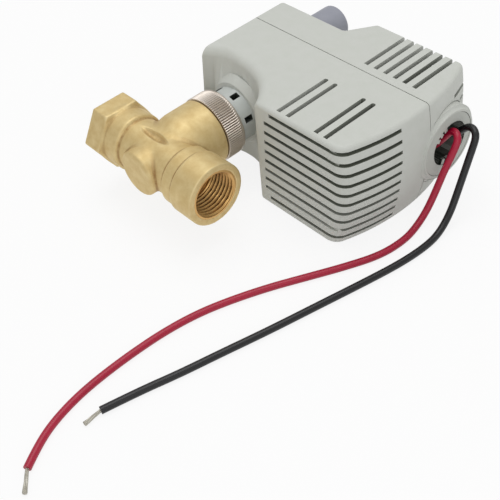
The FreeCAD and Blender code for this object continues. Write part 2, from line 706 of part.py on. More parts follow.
def rear_cover(outer, inner):
    shell = cut(copy_of(outer), copy_of(inner))
    rear = overlap(shell, across_form("seamRear", "rearFace + past"))
    slotted = cut(rear, *cover_slots())
    columns = [rod("columnRadius", "plateEnd + columnGap", "rearFace", x, z)
               for x, z in post_places]
    inside = overlap(join(*columns), copy_of(outer))
    tools = [rod("entryRadius + coverGap", "entryRoot - bushFlangeThick - past", "blankEnd",
                 "entryY", "0", "X"),
             below_entry("apronRadius + coverGap"),
             rod("shaftRadius + guideGap", "leftRear - wall - past", "leftRear + past")]
    for x, z in post_places:
        tools.append(rod("tunnelRadius", "plateEnd + columnGap + columnFloor",
                         "rearFace + past", x, z))
        tools.append(rod("screwRadius + screwGap", "plateStart", "rearFace", x, z))
    node(cut(join(slotted, inside), *tools), "rear_cover")


def cover_screws():
    head = "plateEnd + columnGap + columnFloor"
    items = []
    for x, z in post_places:
        items.append(join(
            rod("screwRadius", "plateStart - screwLong", head, x, z),
            cut(rod("screwHead", head, head + " + screwHeadHigh", x, z),
                rod("screwHead / 2", head + " + screwHeadHigh / 2",
                    head + " + screwHeadHigh", x, z))))
    node(join(*items), "cover_screws")


def entry_bush():
    body = new_body("EntryDisc")
    turn(body, [("0", "entryRoot - bushFlangeThick"), ("bushFlange", "entryRoot - bushFlangeThick"),
                ("bushFlange", "entryRoot"), ("entryBore - bushGap", "entryRoot"),
                ("entryBore - bushGap", "bushFace"), ("0", "bushFace")], axis="X")
    tie(body, ".Placement.Base.y", "entryY")
    hole = rod("bushHole", "entryRoot - bushFlangeThick - past", "entryEnd + past",
               "bushHoleY", "0", "X")
    # the teeth that the hole's rim keeps, as angles from +Y towards +Z
    kept = (110, 128, 146, 250, 270)
    teeth = []
    for angle in kept:
        y = "bushHoleY + (bushHole - toothLong / 2) * cos(%d)" % angle
        z = "(bushHole - toothLong / 2) * sin(%d)" % angle
        tooth = doc.addObject("Part::Box", "Tooth")
        tie(tooth, "Length", "toothThick")
        tie(tooth, "Width", "toothLong + bury")
        tie(tooth, "Height", "toothWide")
        spin = Rotation(Vector(1, 0, 0), angle)
        tooth.Placement = Placement(Vector(), spin)
        # the box's own corner is at its inner end, half a width to one side
        tie_base(tooth, "bushFace - toothThick - toothInset",
                 "%s - toothLong / 2 * cos(%d) + toothWide / 2 * sin(%d)" % (y, angle, angle),
                 "%s - toothLong / 2 * sin(%d) - toothWide / 2 * cos(%d)" % (z, angle, angle))
        teeth.append(tooth)
    node(join(cut(body, hole), *teeth), "entry_bush")


# The plate that carries motor and gears.
def gear_plate():
    plate = block("-plateLeft", "plateRight", "plateStart", "plateEnd", "-plateHalf", "plateHalf")
    def hole(radius, x="0", z="0"):
        return rod(radius, "plateStart - past", "plateEnd + past", x, z)
    keyed = cut(hole("rodRadius + guideGap"),
                block("rodRadius + guideGap - keyDepth", "rodRadius + past",
                      "plateStart - 2 * past", "plateEnd + 2 * past",
                      "-rodRadius - past", "rodRadius + past"))
    tools = [keyed, hole("bearingRadius", "motorX"), hole("gearPin", "firstX"),
             hole("gearPin", "secondX")]
    tools += [hole("screwRadius + screwGap", x, z) for x, z in post_places]
    tools += [hole("earScrew", x, z) for x, z in ear_places]
    node(cut(plate, *tools), "gear_plate")


ear_places = [("motorX + earPlace * cos(earAngle)", "earPlace * sin(earAngle)"),
              ("motorX - earPlace * cos(earAngle)", "-earPlace * sin(earAngle)")]


def motor():
    can = new_body("motor_can")
    turn(can, [
        ("bearingRadius", "canStart"), ("canRadius", "canStart"), ("canRadius", "motorCapStart"),
        ("canRadius - canWall", "motorCapStart"), ("canRadius - canWall", "canStart + canWall"),
        ("bearingRadius", "canStart + canWall")], x="motorX")
    node(can, "motor_can")
    cap = join(rod("canRadius", "motorCapStart", "plateStart", "motorX"),
               *[rod("earRadius", "motorCapStart", "plateStart", x, z) for x, z in ear_places])
    holes = [rod("earScrew", "motorCapStart - past", "plateStart + past", x, z)
             for x, z in ear_places]
    bore = rod("bearingRadius", "motorCapStart - past", "plateStart + past", "motorX")
    node(cut(cap, bore, *holes), "motor_cap")
    bobbin = new_body("coil_bobbin")
    turn(bobbin, [
        ("bobbinBore", "bobbinEnd"), ("bobbinFlange", "bobbinEnd"),
        ("bobbinFlange", "bobbinEnd + canWall"), ("bobbinBore + bobbinWall", "bobbinEnd + canWall"),
        ("bobbinBore + bobbinWall", "motorCapStart - canWall"),
        ("bobbinFlange", "motorCapStart - canWall"), ("bobbinFlange", "motorCapStart"),
        ("bobbinBore", "motorCapStart")], x="motorX")
    node(bobbin, "coil_bobbin")
    washer("motor_coil", "coilRadius", "bobbinBore + bobbinWall", "bobbinEnd + canWall",
           "motorCapStart - canWall", x="motorX")
    washer("rear_bearing", "bearingRadius", "motorShaft + boreGap", "canStart",
           "canStart + bearingLong", x="motorX")
    washer("front_bearing", "bearingRadius", "motorShaft + boreGap",
           "plateEnd - frontBearingLong", "plateEnd", x="motorX")
    washer("rotor_magnet", "magnetRadius", "motorShaft", "magnetStart", "magnetEnd", x="motorX")
    shaft = new_body("motor_shaft")
    turn(shaft, [
        ("0", "canStart + endPlay"), ("motorShaft", "canStart + endPlay"),
        ("motorShaft", "shaftLower"), ("collarShaft", "shaftLower"),
        ("collarShaft", "magnetStart"), ("motorShaft", "magnetStart"),
        ("motorShaft", "magnetEnd"), ("collarShaft", "magnetEnd"),
        ("collarShaft", "shaftUpper"), ("motorShaft", "shaftUpper"),
        ("motorShaft", "layerThree + gearWide"), ("0", "layerThree + gearWide")], x="motorX")
    node(shaft, "motor_shaft")
    screws = [join(rod("earScrew", "plateEnd - earScrewLong", "plateEnd", x, z),
                   rod("earScrewHead", "plateEnd", "plateEnd + earScrewHigh", x, z))
              for x, z in ear_places]
    node(join(*screws), "motor_screws")


# Gears: involute flanks as three straight pieces each, straight teeth.
def flank_angle(teeth, radius):
    """Half the angle of a tooth at a radius, in radians."""
    pitch = value("module") * teeth / 2
    base = pitch * math.cos(math.radians(value("pressure")))
    thick = math.pi * value("module") / 2 - value("backlash")

    def involute(cosine):
        angle = math.acos(min(cosine, 1))
        return math.tan(angle) - angle
    start = involute(base / pitch)
    return thick / 2 / pitch + start - involute(base / max(radius, base))


def gear_face(teeth, y, wanted=None, shift=0.0):
    """The gear's outline in the plane of a place along Y. A gear with fewer teeth than
    the full count is a sector that runs back to its axis. shift is in tooth pitches."""
    step = 2 * math.pi / teeth
    pitch = value("module") * teeth / 2
    base = pitch * math.cos(math.radians(value("pressure")))
    tip = pitch + value("addendum * module")
    root = pitch - value("dedendum * module")
    low = max(root, base)
    radii = [low, (low + tip) / 2, tip]
    points = []

    def put(radius, angle):
        points.append(Vector(radius * math.cos(angle), y, radius * math.sin(angle)))
    numbers = wanted if wanted is not None else range(teeth)
    ease = math.radians(value("rootEase"))
    for k in numbers:
        middle = (k + shift) * step
        put(root, middle - step / 2)
        put(root, middle - flank_angle(teeth, low) - ease)
        for radius in radii:
            put(radius, middle - flank_angle(teeth, radius))
        for radius in reversed(radii):
            put(radius, middle + flank_angle(teeth, radius))
        put(root, middle + flank_angle(teeth, low) + ease)
    if wanted is not None:
        put(root, (numbers[-1] + shift + 0.5) * step)
        points.append(Vector(0, y, 0))
    return Part.Face(Part.makePolygon(points + points[:1]))


def disc(radius, start, end, x=0.0):
    return Part.makeCylinder(radius, end - start, Vector(x, start, 0), Vector(0, 1, 0))


def toothed(teeth, start, shift=0.0, wanted=None):
    return gear_face(teeth, start, wanted, shift).extrude(Vector(0, value("gearWide"), 0))


def gap_at_left(teeth):
    """The shift, in tooth pitches, that puts a gap at 180 degrees."""
    return 0.5 if int(value(teeth)) % 2 == 0 else 0.0


def compound_gear(label, wheel, wheel_layer, pinion, pinion_layer, x):
    """A wheel and a smaller gear in one piece on a hub, bored for its pin. On the line
    of centres the wheel has a tooth at 0 degrees and the smaller gear a gap at 180."""
    wheel_start = value(wheel_layer)
    pinion_start = value(pinion_layer)
    low = min(wheel_start, pinion_start)
    high = max(wheel_start, pinion_start) + value("gearWide")
    solid = toothed(int(value(wheel)), wheel_start)
    solid = solid.fuse(toothed(int(value(pinion)), pinion_start, gap_at_left(pinion)))
    solid = solid.fuse(disc(value("gearHub"), low, high))
    solid = solid.fuse(disc(value("gearHub"), value("plateEnd + gearLift"), low + value("bury")))
    solid = solid.cut(disc(value("gearPin + boreGap"), value("plateStart"), high + value("past")))
    solid.translate(Vector(value(x), 0, 0))
    node(computed(solid.removeSplitter()), label)


def gears():
    compound_gear("first_reduction_gear", "firstTeeth", "layerThree", "firstPinion",
                  "layerTwo", "firstX")
    compound_gear("second_reduction_gear", "secondTeeth", "layerTwo", "secondPinion",
                  "layerOne", "secondX")
    solid = toothed(int(value("pinionTeeth")), value("layerThree"), gap_at_left("pinionTeeth"))
    solid = solid.cut(disc(value("motorShaft"), value("plateStart"), value("rearFace")))
    solid.translate(Vector(value("motorX"), 0, 0))
    node(computed(solid), "motor_pinion")
    clip_start = "layerThree + gearWide + gearLift"
    clip_end = clip_start + " + gearClipThick"
    node(rod("gearPin", "plateStart", clip_end + " + gearClipThick", "firstX"), "first_gear_pin")
    node(rod("gearPin", "plateStart", "layerTwo + gearWide + gearLift", "secondX"),
         "second_gear_pin")
    washer("gear_clip", "gearClipRadius", "gearPin", clip_start, clip_end, x="firstX")


# The cam: toothed sector, sleeve and two ramps that lift the cross pin.
def ramp(inner, outer, start, from_angle, to_angle, low, high):
    """A block between two radii whose top is a screw surface, from an angle and a
    height to another angle and height, in degrees about the Y axis."""
    steps = 12
    rows = []
    for radius in (inner, outer):
        row = []
        for i in range(steps + 1):
            share = i / steps
            angle = math.radians(from_angle + (to_angle - from_angle) * share)
            row.append(Vector(radius * math.cos(angle), low + (high - low) * share,
                              radius * math.sin(angle)))
        rows.append(row)
    curves = []
    for row in rows:
        curve = Part.BSplineCurve()
        curve.interpolate(row)
        curves.append(curve.toShape())
    top = Part.makeRuledSurface(curves[0], curves[1])
    depth = 2 * (high - start)
    solid = top.extrude(Vector(0, -depth, 0))
    side = 2 * outer
    keep = Part.makeBox(2 * side, depth, 2 * side, Vector(-side, start, -side))
    return solid.common(keep)


def cam_gear():
    start = value("camStart")
    wanted = list(range(-int(value("camBack")), int(value("camFore")) + 1))
    solid = toothed(int(value("camTeeth")), start, 0.0, wanted)
    solid = solid.fuse(disc(value("camHub"), start, value("camEnd")))
    sleeve = disc(value("camHub"), value("camEnd"), value("capDiscEnd"))
    sleeve = sleeve.cut(disc(value("sleeveRadius"), value("camEnd"), value("capDiscEnd")))
    solid = solid.fuse(sleeve)
    slope = value("lift / swing")
    steepest = math.atan(slope * 180 / math.pi / value("rampInner"))
    contact = value("pinPlace") - value("pinRadius") / math.cos(steepest) - value("rampGap")
    spare = value("rampSpare")
    for turned in (90, 270):
        low_angle = turned + spare
        high_angle = turned - value("swing") - spare
        solid = solid.fuse(ramp(
            value("rampInner"), value("(sleeveRadius + camHub) / 2"),
            value("camEnd - gearWide / 2"), low_angle, high_angle, contact - slope * spare,
            contact + slope * (value("swing") + spare)))
    solid = solid.fuse(disc(value("camBoss"), value("plateEnd + gearLift"),
                            value("camStart + gearWide / 2")))
    solid = solid.cut(disc(value("rodRadius + guideGap"), value("plateStart"), value("rearFace")))
    node(computed(solid.removeSplitter()), "cam_gear")


def lever():
    shaft = join(rod("sleeveRadius", "capDiscStart", "capDiscEnd"),
                 rod("shaftRadius", "capDiscEnd", "leverHubTop"))
    node(cut(shaft, rod("leverScrewRadius", "leverHubTop - leverScrewLong", "leverHubTop")),
         "lever_shaft")
    grip = new_body("Grip")
    turn(grip, [("0", "leverStart"), ("gripRadius", "leverStart"),
                ("gripRadius", "gripTop - gripEdge", "gripEdge"),
                ("gripRadius - gripEdge", "gripTop"), ("0", "gripTop")], z="gripPlace")
    arm = block("-gripRadius", "gripRadius", "leverStart", "leverHubTop", "0", "gripPlace")
    whole = join(grip, rod("leverHub", "leverStart", "leverHubTop"), arm)
    node(cut(whole, rod("shaftRadius", "leverStart - past", "leverHubTop + past"),
             rod("leverScrewHead + headRoom", "leverHubTop", "gripTop + past")), "manual_lever")
    node(join(rod("leverScrewRadius", "leverHubTop - leverScrewLong", "leverHubTop"),
              rod("leverScrewHead", "leverHubTop", "leverHubTop + leverScrewHigh")),
         "lever_screw")


def plunger():
    body = new_body("Plunger")
    turn(body, [
        ("0", "rodStart"), ("rodRadius", "rodStart"), ("rodRadius", "springSeat"),
        ("springSeatRadius", "springSeat"), ("springSeatRadius", "springSeat + springSeatThick"),
        ("rodRadius", "springSeat + springSeatThick"), ("rodRadius", "rodEnd"), ("0", "rodEnd")])
    flat = block("rodRadius - keyDepth", "rodRadius + past", "keyStart", "keyEnd",
                 "-rodRadius - past", "rodRadius + past")
    across = doc.addObject("Part::Cylinder", "Across")
    tie(across, "Radius", "pinRadius + pinGap")
    tie(across, "Height", "2 * (rodRadius + past)")
    tie_base(across, "0", "pinPlace", "-rodRadius - past")
    node(cut(body, flat, across), "plunger")
    pin = doc.addObject("Part::Cylinder", "CrossPin")
    tie(pin, "Radius", "pinRadius")
    tie(pin, "Height", "2 * pinHalf")
    tie_base(pin, "0", "pinPlace", "-pinHalf")
    node(pin, "cross_pin")


# Springs: one unbroken wire, wound in quarter turns.
def coil_spring(label, wire, radius, turns, start, end):
    """Wire centre line from the lower seat to the upper one, on arcs of a quarter turn."""
    thick = value(wire)
    mean = value(radius)
    low = value(start) + thick / 2
    high = value(end) - thick / 2
    quarters = int(value(turns) * 4)
    pitch = (high - low) / quarters

    def at(step):
        angle = math.pi / 2 * step
        return Vector(mean * math.cos(angle), low + pitch * step, mean * math.sin(angle))
    arcs = [Part.Arc(at(k), at(k + 0.5), at(k + 1)).toShape() for k in range(quarters)]
    path = Part.Wire(arcs)
    heading = arcs[0].tangentAt(arcs[0].FirstParameter)
    section = Part.Wire(Part.makeCircle(thick / 2, at(0), heading))
    solid = path.makePipeShell([section], True, False)
    gap = pitch * 4 - thick
    print(label, "length of wire", round(path.Length, 1), "gap between turns", round(gap, 2),
          "volume over section times length",
          round(solid.Volume / (math.pi * thick ** 2 / 4 * path.Length), 4))
    node(computed(solid), label)


# The two leads.
def lead_path(label, points):
    """Straight runs joined by tangent arcs, each as large as its runs allow."""
    corners = [Vector(*p) for p in points]
    edges = []
    radii = []
    last = corners[0]
    for before, corner, after in zip(corners, corners[1:], corners[2:]):
        into = (corner - before).normalize()
        out = (after - corner).normalize()
        bend = into.getAngle(out)
        shorter = min((corner - before).Length, (after - corner).Length)
        back = 0.45 * shorter
        start = corner - into * back
        end = corner + out * back
        centre_way = (out - into).normalize()
        radius = back / math.tan(bend / 2)
        radii.append(round(radius, 1))
        middle = corner + centre_way * (radius / math.cos(bend / 2) - radius)
        edges.append(Part.LineSegment(last, start).toShape())
        edges.append(Part.Arc(start, middle, end).toShape())
        last = end
    edges.append(Part.LineSegment(last, corners[-1]).toShape())
    wire = Part.Wire(edges)
    print(label, "length", round(wire.Length, 1), "bend radii", radii)
    return wire


def lead(label, points, diameter):
    radius = value(diameter) / 2
    wire = lead_path(label, points)
    start = Vector(*points[0])
    heading = (Vector(*points[1]) - start).normalize()
    section = Part.Wire(Part.makeCircle(radius, start, heading))
    solid = wire.makePipeShell([section], True, False)
    print(label, "volume over section times length",
          round(solid.Volume / (math.pi * radius ** 2 * wire.Length), 4))
    node(computed(solid), label)


red_route = [
    (66, 80.8, -6.6), (71.2, 80.8, -6.6), (75.0, 82.0, -2.8), (77.8, 83.4, 1.6),
    (80.6, 84.4, 6.2), (83.7, 83.3, 7.1), (85.9, 81.4, 5.5), (85.7, 78.8, 0.3),
    (85.2, 75.0, -6.6), (85.2, 70.8, -14.2), (85.6, 65.2, -21.0), (86.3, 57.8, -24.7),
    (87.5, 48.9, -24.7), (85.9, 36.3, -24.7),
    (79.4, 21.6, -24.7), (72.2, 7.5, -24.7), (65.7, -5.3, -24.7), (59.8, -19.4, -24.7),
    (55.5, -32.4, -24.7), (52.9, -47.0, -24.7), (52.0, -62.1, -24.7), (52.1, -77.6, -24.7),
    (53.3, -89.3, -24.7), (56.1, -100.8, -24.7), (60.4, -109.8, -24.7), (64.0, -115.3, -24.7)]
black_route = [
    (66, 86.0, -1.2), (71.6, 86.0, -1.2), (77.4, 87.4, 0.4), (81.8, 88.9, 4.1),
    (85.0, 89.4, 7.6), (88.1, 88.5, 8.1), (90.4, 86.8, 6.5), (90.8, 84.3, 1.6),
    (91.6, 80.0, -5.4), (92.6, 75.2, -12.8), (93.9, 69.4, -20.4), (95.3, 61.0, -24.7),
    (95.9, 51.6, -24.7), (94.5, 38.3, -24.7), (90.9, 21.8, -24.7),
    (86.1, 1.7, -24.7), (80.9, -20.4, -24.7), (75.8, -39.5, -24.7), (71.8, -55.5, -24.7),
    (67.2, -70.6, -24.7), (63.7, -84.9, -24.7)]


def leads():
    lead("red_lead", red_route, "leadDiameter")
    lead("black_lead", black_route, "leadDiameter")
    for label, route, tip in (("red_tinned_end", red_route, (71.5, -121.8, -25.2)),
                              ("black_tinned_end", black_route, (63.8, -92.3, -25.2))):
        start = Vector(*route[-1])
        way = Vector(*tip) - start
        node(computed(Part.makeCylinder(value("tinDiameter") / 2, way.Length, start, way)), label)


def lead_clamp():
    base = block("clampStart", "clampEnd", "plateEnd", "clampTop", "-clampHalf", "clampHalf")
    middle = "(clampStart + clampEnd) / 2"
    sides = ("clampScrewPlace", "-clampScrewPlace")
    holes = [rod("earScrew + screwGap", "plateEnd - past", "clampTop + past", middle, z)
             for z in sides]
    node(cut(base, *holes), "lead_clamp")
    screws = [join(rod("earScrew", "plateEnd + boreGap", "clampTop", middle, z),
                   rod("earScrewHead", "clampTop", "clampTop + earScrewHigh", middle, z))
              for z in sides]
    node(join(*screws), "clamp_screws")


valve_body()
valve_trim()
coupling_nut()
mounting_collar()
outer, inner = front_housing()
rear_cover(outer, inner)
cover_screws()
entry_bush()
gear_plate()
motor()
gears()
cam_gear()
lever()
plunger()
coil_spring("closing_spring", "closingWire", "closingCoilRadius", "closingCoils",
            "springSeat + springSeatThick", "plateStart")
coil_spring("stem_spring", "stemWire", "stemCoilRadius", "stemCoils", "insertTop", "capBase")
lead_clamp()
leads()

doc.recompute()
problems = [item.Name + " of " + item.Label for item in doc.Objects
            if "Invalid" in item.State or "Error" in item.State]
problems += [item.Label for item in nodes if item.Shape.isNull() or not item.Shape.isValid()]
print("objects", len(doc.Objects), "sub-parts", len(nodes), "problems", problems)
if problems:
    raise SystemExit("not written")
os.makedirs("parts", exist_ok=True)
for item in nodes:
    solids = len(item.Shape.Solids)
    print(item.Label, solids, "solids", round(item.Shape.Volume, 1), "mm3")
    item.Shape.exportStep("parts/%s.step" % item.Label)
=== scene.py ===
# Looks of a motorized zone valve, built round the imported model.
# Lengths in the settings are millimetres in the valve's own frame: X along the pipe,
# Y along the stem towards the actuator, Z up, from where the two axes cross.
import itertools
import json
import math

import bmesh
import bpy
import numpy as np
from mathutils import Matrix, Vector
from mathutils.bvhtree import BVHTree

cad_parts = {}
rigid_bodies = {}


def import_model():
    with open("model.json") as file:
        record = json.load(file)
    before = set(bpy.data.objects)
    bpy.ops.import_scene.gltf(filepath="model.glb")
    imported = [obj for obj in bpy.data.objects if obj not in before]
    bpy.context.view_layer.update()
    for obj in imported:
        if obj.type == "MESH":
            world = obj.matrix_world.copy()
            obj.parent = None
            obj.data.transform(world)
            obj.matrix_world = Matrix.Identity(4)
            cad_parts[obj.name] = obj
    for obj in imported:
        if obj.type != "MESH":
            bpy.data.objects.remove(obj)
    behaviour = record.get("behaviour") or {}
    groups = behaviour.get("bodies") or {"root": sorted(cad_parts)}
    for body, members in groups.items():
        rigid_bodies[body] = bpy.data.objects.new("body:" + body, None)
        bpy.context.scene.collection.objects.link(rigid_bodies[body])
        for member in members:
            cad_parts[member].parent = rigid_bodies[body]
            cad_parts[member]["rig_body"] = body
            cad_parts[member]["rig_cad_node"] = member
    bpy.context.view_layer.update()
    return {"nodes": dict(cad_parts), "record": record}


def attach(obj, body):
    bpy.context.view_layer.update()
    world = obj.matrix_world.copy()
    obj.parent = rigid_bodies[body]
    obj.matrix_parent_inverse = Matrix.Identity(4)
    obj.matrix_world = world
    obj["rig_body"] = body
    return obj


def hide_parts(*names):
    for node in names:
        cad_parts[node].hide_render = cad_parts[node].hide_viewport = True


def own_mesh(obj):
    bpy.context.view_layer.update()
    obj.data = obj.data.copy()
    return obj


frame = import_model()
nodes = frame["nodes"]
mounts = {m["name"]: np.array(m["pos_m"]) for m in frame["record"]["mounts"]}
valveCentre = (mounts["inlet_thread"] + mounts["outlet_thread"]) / 2
bodyOf = {n: b for b, names in frame["record"]["behaviour"]["bodies"].items() for n in names}
slotOf = {s["node"]: s["material_slot"] for s in frame["record"]["subparts"]}
mm = 0.001
scene = bpy.context.scene
print("frame loaded", len(nodes), "nodes, valve centre", valveCentre)


def toFrame(points):
    # millimetres in the valve's frame to metres in the part's frame
    return np.asarray(points, float) * mm + valveCentre


def tone(red, green, blue):
    # a screen colour from 0 to 255 as the linear colour that Blender takes
    share = np.array([red, green, blue]) / 255
    linear = np.where(share <= 0.04045, share / 12.92, ((share + 0.055) / 1.055) ** 2.4)
    return (*linear.tolist(), 1.0)


# Camera, at the place and angle that the photograph was taken from.
cameraSet = {
    "place": (241.124, -152.837, 232.137), "turn": 51.301, "tilt": 45.725, "roll": 6.396,
    "lens": 64.147, "sensor": 36.0, "near": 0.01}


def addCamera(s=cameraSet):
    # forward comes from turn and tilt, and the picture's right and down are the level
    # direction and its downward mate, turned by the roll
    turn, tilt, roll = (math.radians(s[k]) for k in ("turn", "tilt", "roll"))
    forward = np.array([-math.sin(turn) * math.cos(tilt), math.cos(turn) * math.cos(tilt),
                        -math.sin(tilt)])
    level = np.array([math.cos(turn), math.sin(turn), 0])
    down = np.cross(forward, level)
    right = math.cos(roll) * level + math.sin(roll) * down
    down = -math.sin(roll) * level + math.cos(roll) * down
    data = bpy.data.cameras.new("camera")
    data.lens = s["lens"]
    data.sensor_width = s["sensor"]
    data.clip_start = s["near"]
    camera = bpy.data.objects.new("camera", data)
    rows = np.column_stack([right, -down, -forward])
    camera.matrix_world = (Matrix.Translation(Vector(toFrame(s["place"])))
                           @ Matrix(rows.tolist()).to_4x4())
    scene.collection.objects.link(camera)
    scene.camera = camera


addCamera()
scene.view_settings.view_transform = "Standard"
print("camera placed")


# Node helpers and the effects that several materials share.
def addNode(tree, kind, links=(), **values):
    # a node with its plain settings by name and its inputs by position or name
    made = tree.nodes.new(kind)
    for key, value in values.items():
        setattr(made, key, value)
    for socket, source in dict(links).items():
        if isinstance(source, bpy.types.NodeSocket):
            tree.links.new(source, made.inputs[socket])
        else:
            made.inputs[socket].default_value = source
    return made


def newGroup(name, takes, gives):
    group = bpy.data.node_groups.new(name, "ShaderNodeTree")
    for direction, sockets in (("INPUT", takes), ("OUTPUT", gives)):
        for label, kind in sockets.items():
            group.interface.new_socket(name=label, in_out=direction,
                                       socket_type="NodeSocket" + kind)
    return group, group.nodes.new("NodeGroupInput"), group.nodes.new("NodeGroupOutput")


grainSet = {
    "fineDetail": 5.0, "fineRough": 0.62, "slowScale": 230.0, "slowDetail": 4.0,
    "slowRough": 0.6, "mottleFrom": 0.3, "mottleTo": 0.7}


def buildGrainGroup(s=grainSet):
    # moulding or casting grain: fine noise for height, slow noise for colour and gloss
    group, take, give = newGroup(
        "surfaceGrain",
        {"Colour": "Color", "Dark": "Color", "Scale": "Float", "Mottle": "Float",
         "Rough": "Float", "Rough spread": "Float"},
        {"Colour": "Color", "Height": "Float", "Roughness": "Float"})
    place = addNode(group, "ShaderNodeTexCoord").outputs["Object"]
    fine = addNode(group, "ShaderNodeTexNoise",
                   {"Vector": place, "Scale": take.outputs["Scale"],
                    "Detail": s["fineDetail"], "Roughness": s["fineRough"]})
    slow = addNode(group, "ShaderNodeTexNoise",
                   {"Vector": place, "Scale": s["slowScale"], "Detail": s["slowDetail"],
                    "Roughness": s["slowRough"]})
    shade = addNode(group, "ShaderNodeMapRange",
                    {"Value": slow.outputs["Fac"], "From Min": s["mottleFrom"],
                     "From Max": s["mottleTo"], "To Min": 0.0,
                     "To Max": take.outputs["Mottle"]})
    mixed = addNode(group, "ShaderNodeMix", {0: shade.outputs[0], 6: take.outputs["Colour"],
                                             7: take.outputs["Dark"]}, data_type="RGBA")
    spread = addNode(group, "ShaderNodeMath",
                     {0: slow.outputs["Fac"], 1: take.outputs["Rough spread"],
                      2: take.outputs["Rough"]}, operation="MULTIPLY_ADD")
    group.links.new(mixed.outputs[2], give.inputs["Colour"])
    group.links.new(fine.outputs["Fac"], give.inputs["Height"])
    group.links.new(spread.outputs[0], give.inputs["Roughness"])
    return group


grainGroup = buildGrainGroup()


def finish(name, colour, dark, scale, mottle, rough, spread, bump, depth, metallic=0.0,
           coat=0.0):
    # a Principled material whose colour, gloss and height come from the shared grain:
    # scale, mottle, rough and spread are the grain's, depth is its height in millimetres
    material = bpy.data.materials.new(name)
    material.use_nodes = True
    tree = material.node_tree
    shader = tree.nodes["Principled BSDF"]
    grain = addNode(tree, "ShaderNodeGroup", node_tree=grainGroup)
    for socket, value in (("Colour", tone(*colour)), ("Dark", tone(*dark)), ("Scale", scale),
                          ("Mottle", mottle), ("Rough", rough), ("Rough spread", spread)):
        grain.inputs[socket].default_value = value
    relief = addNode(tree, "ShaderNodeBump", {"Strength": bump, "Distance": depth * mm,
                                              "Height": grain.outputs["Height"]})
    tree.links.new(grain.outputs["Colour"], shader.inputs["Base Color"])
    tree.links.new(grain.outputs["Roughness"], shader.inputs["Roughness"])
    tree.links.new(relief.outputs["Normal"], shader.inputs["Normal"])
    shader.inputs["Metallic"].default_value = metallic
    shader.inputs["Coat Weight"].default_value = coat
    return material


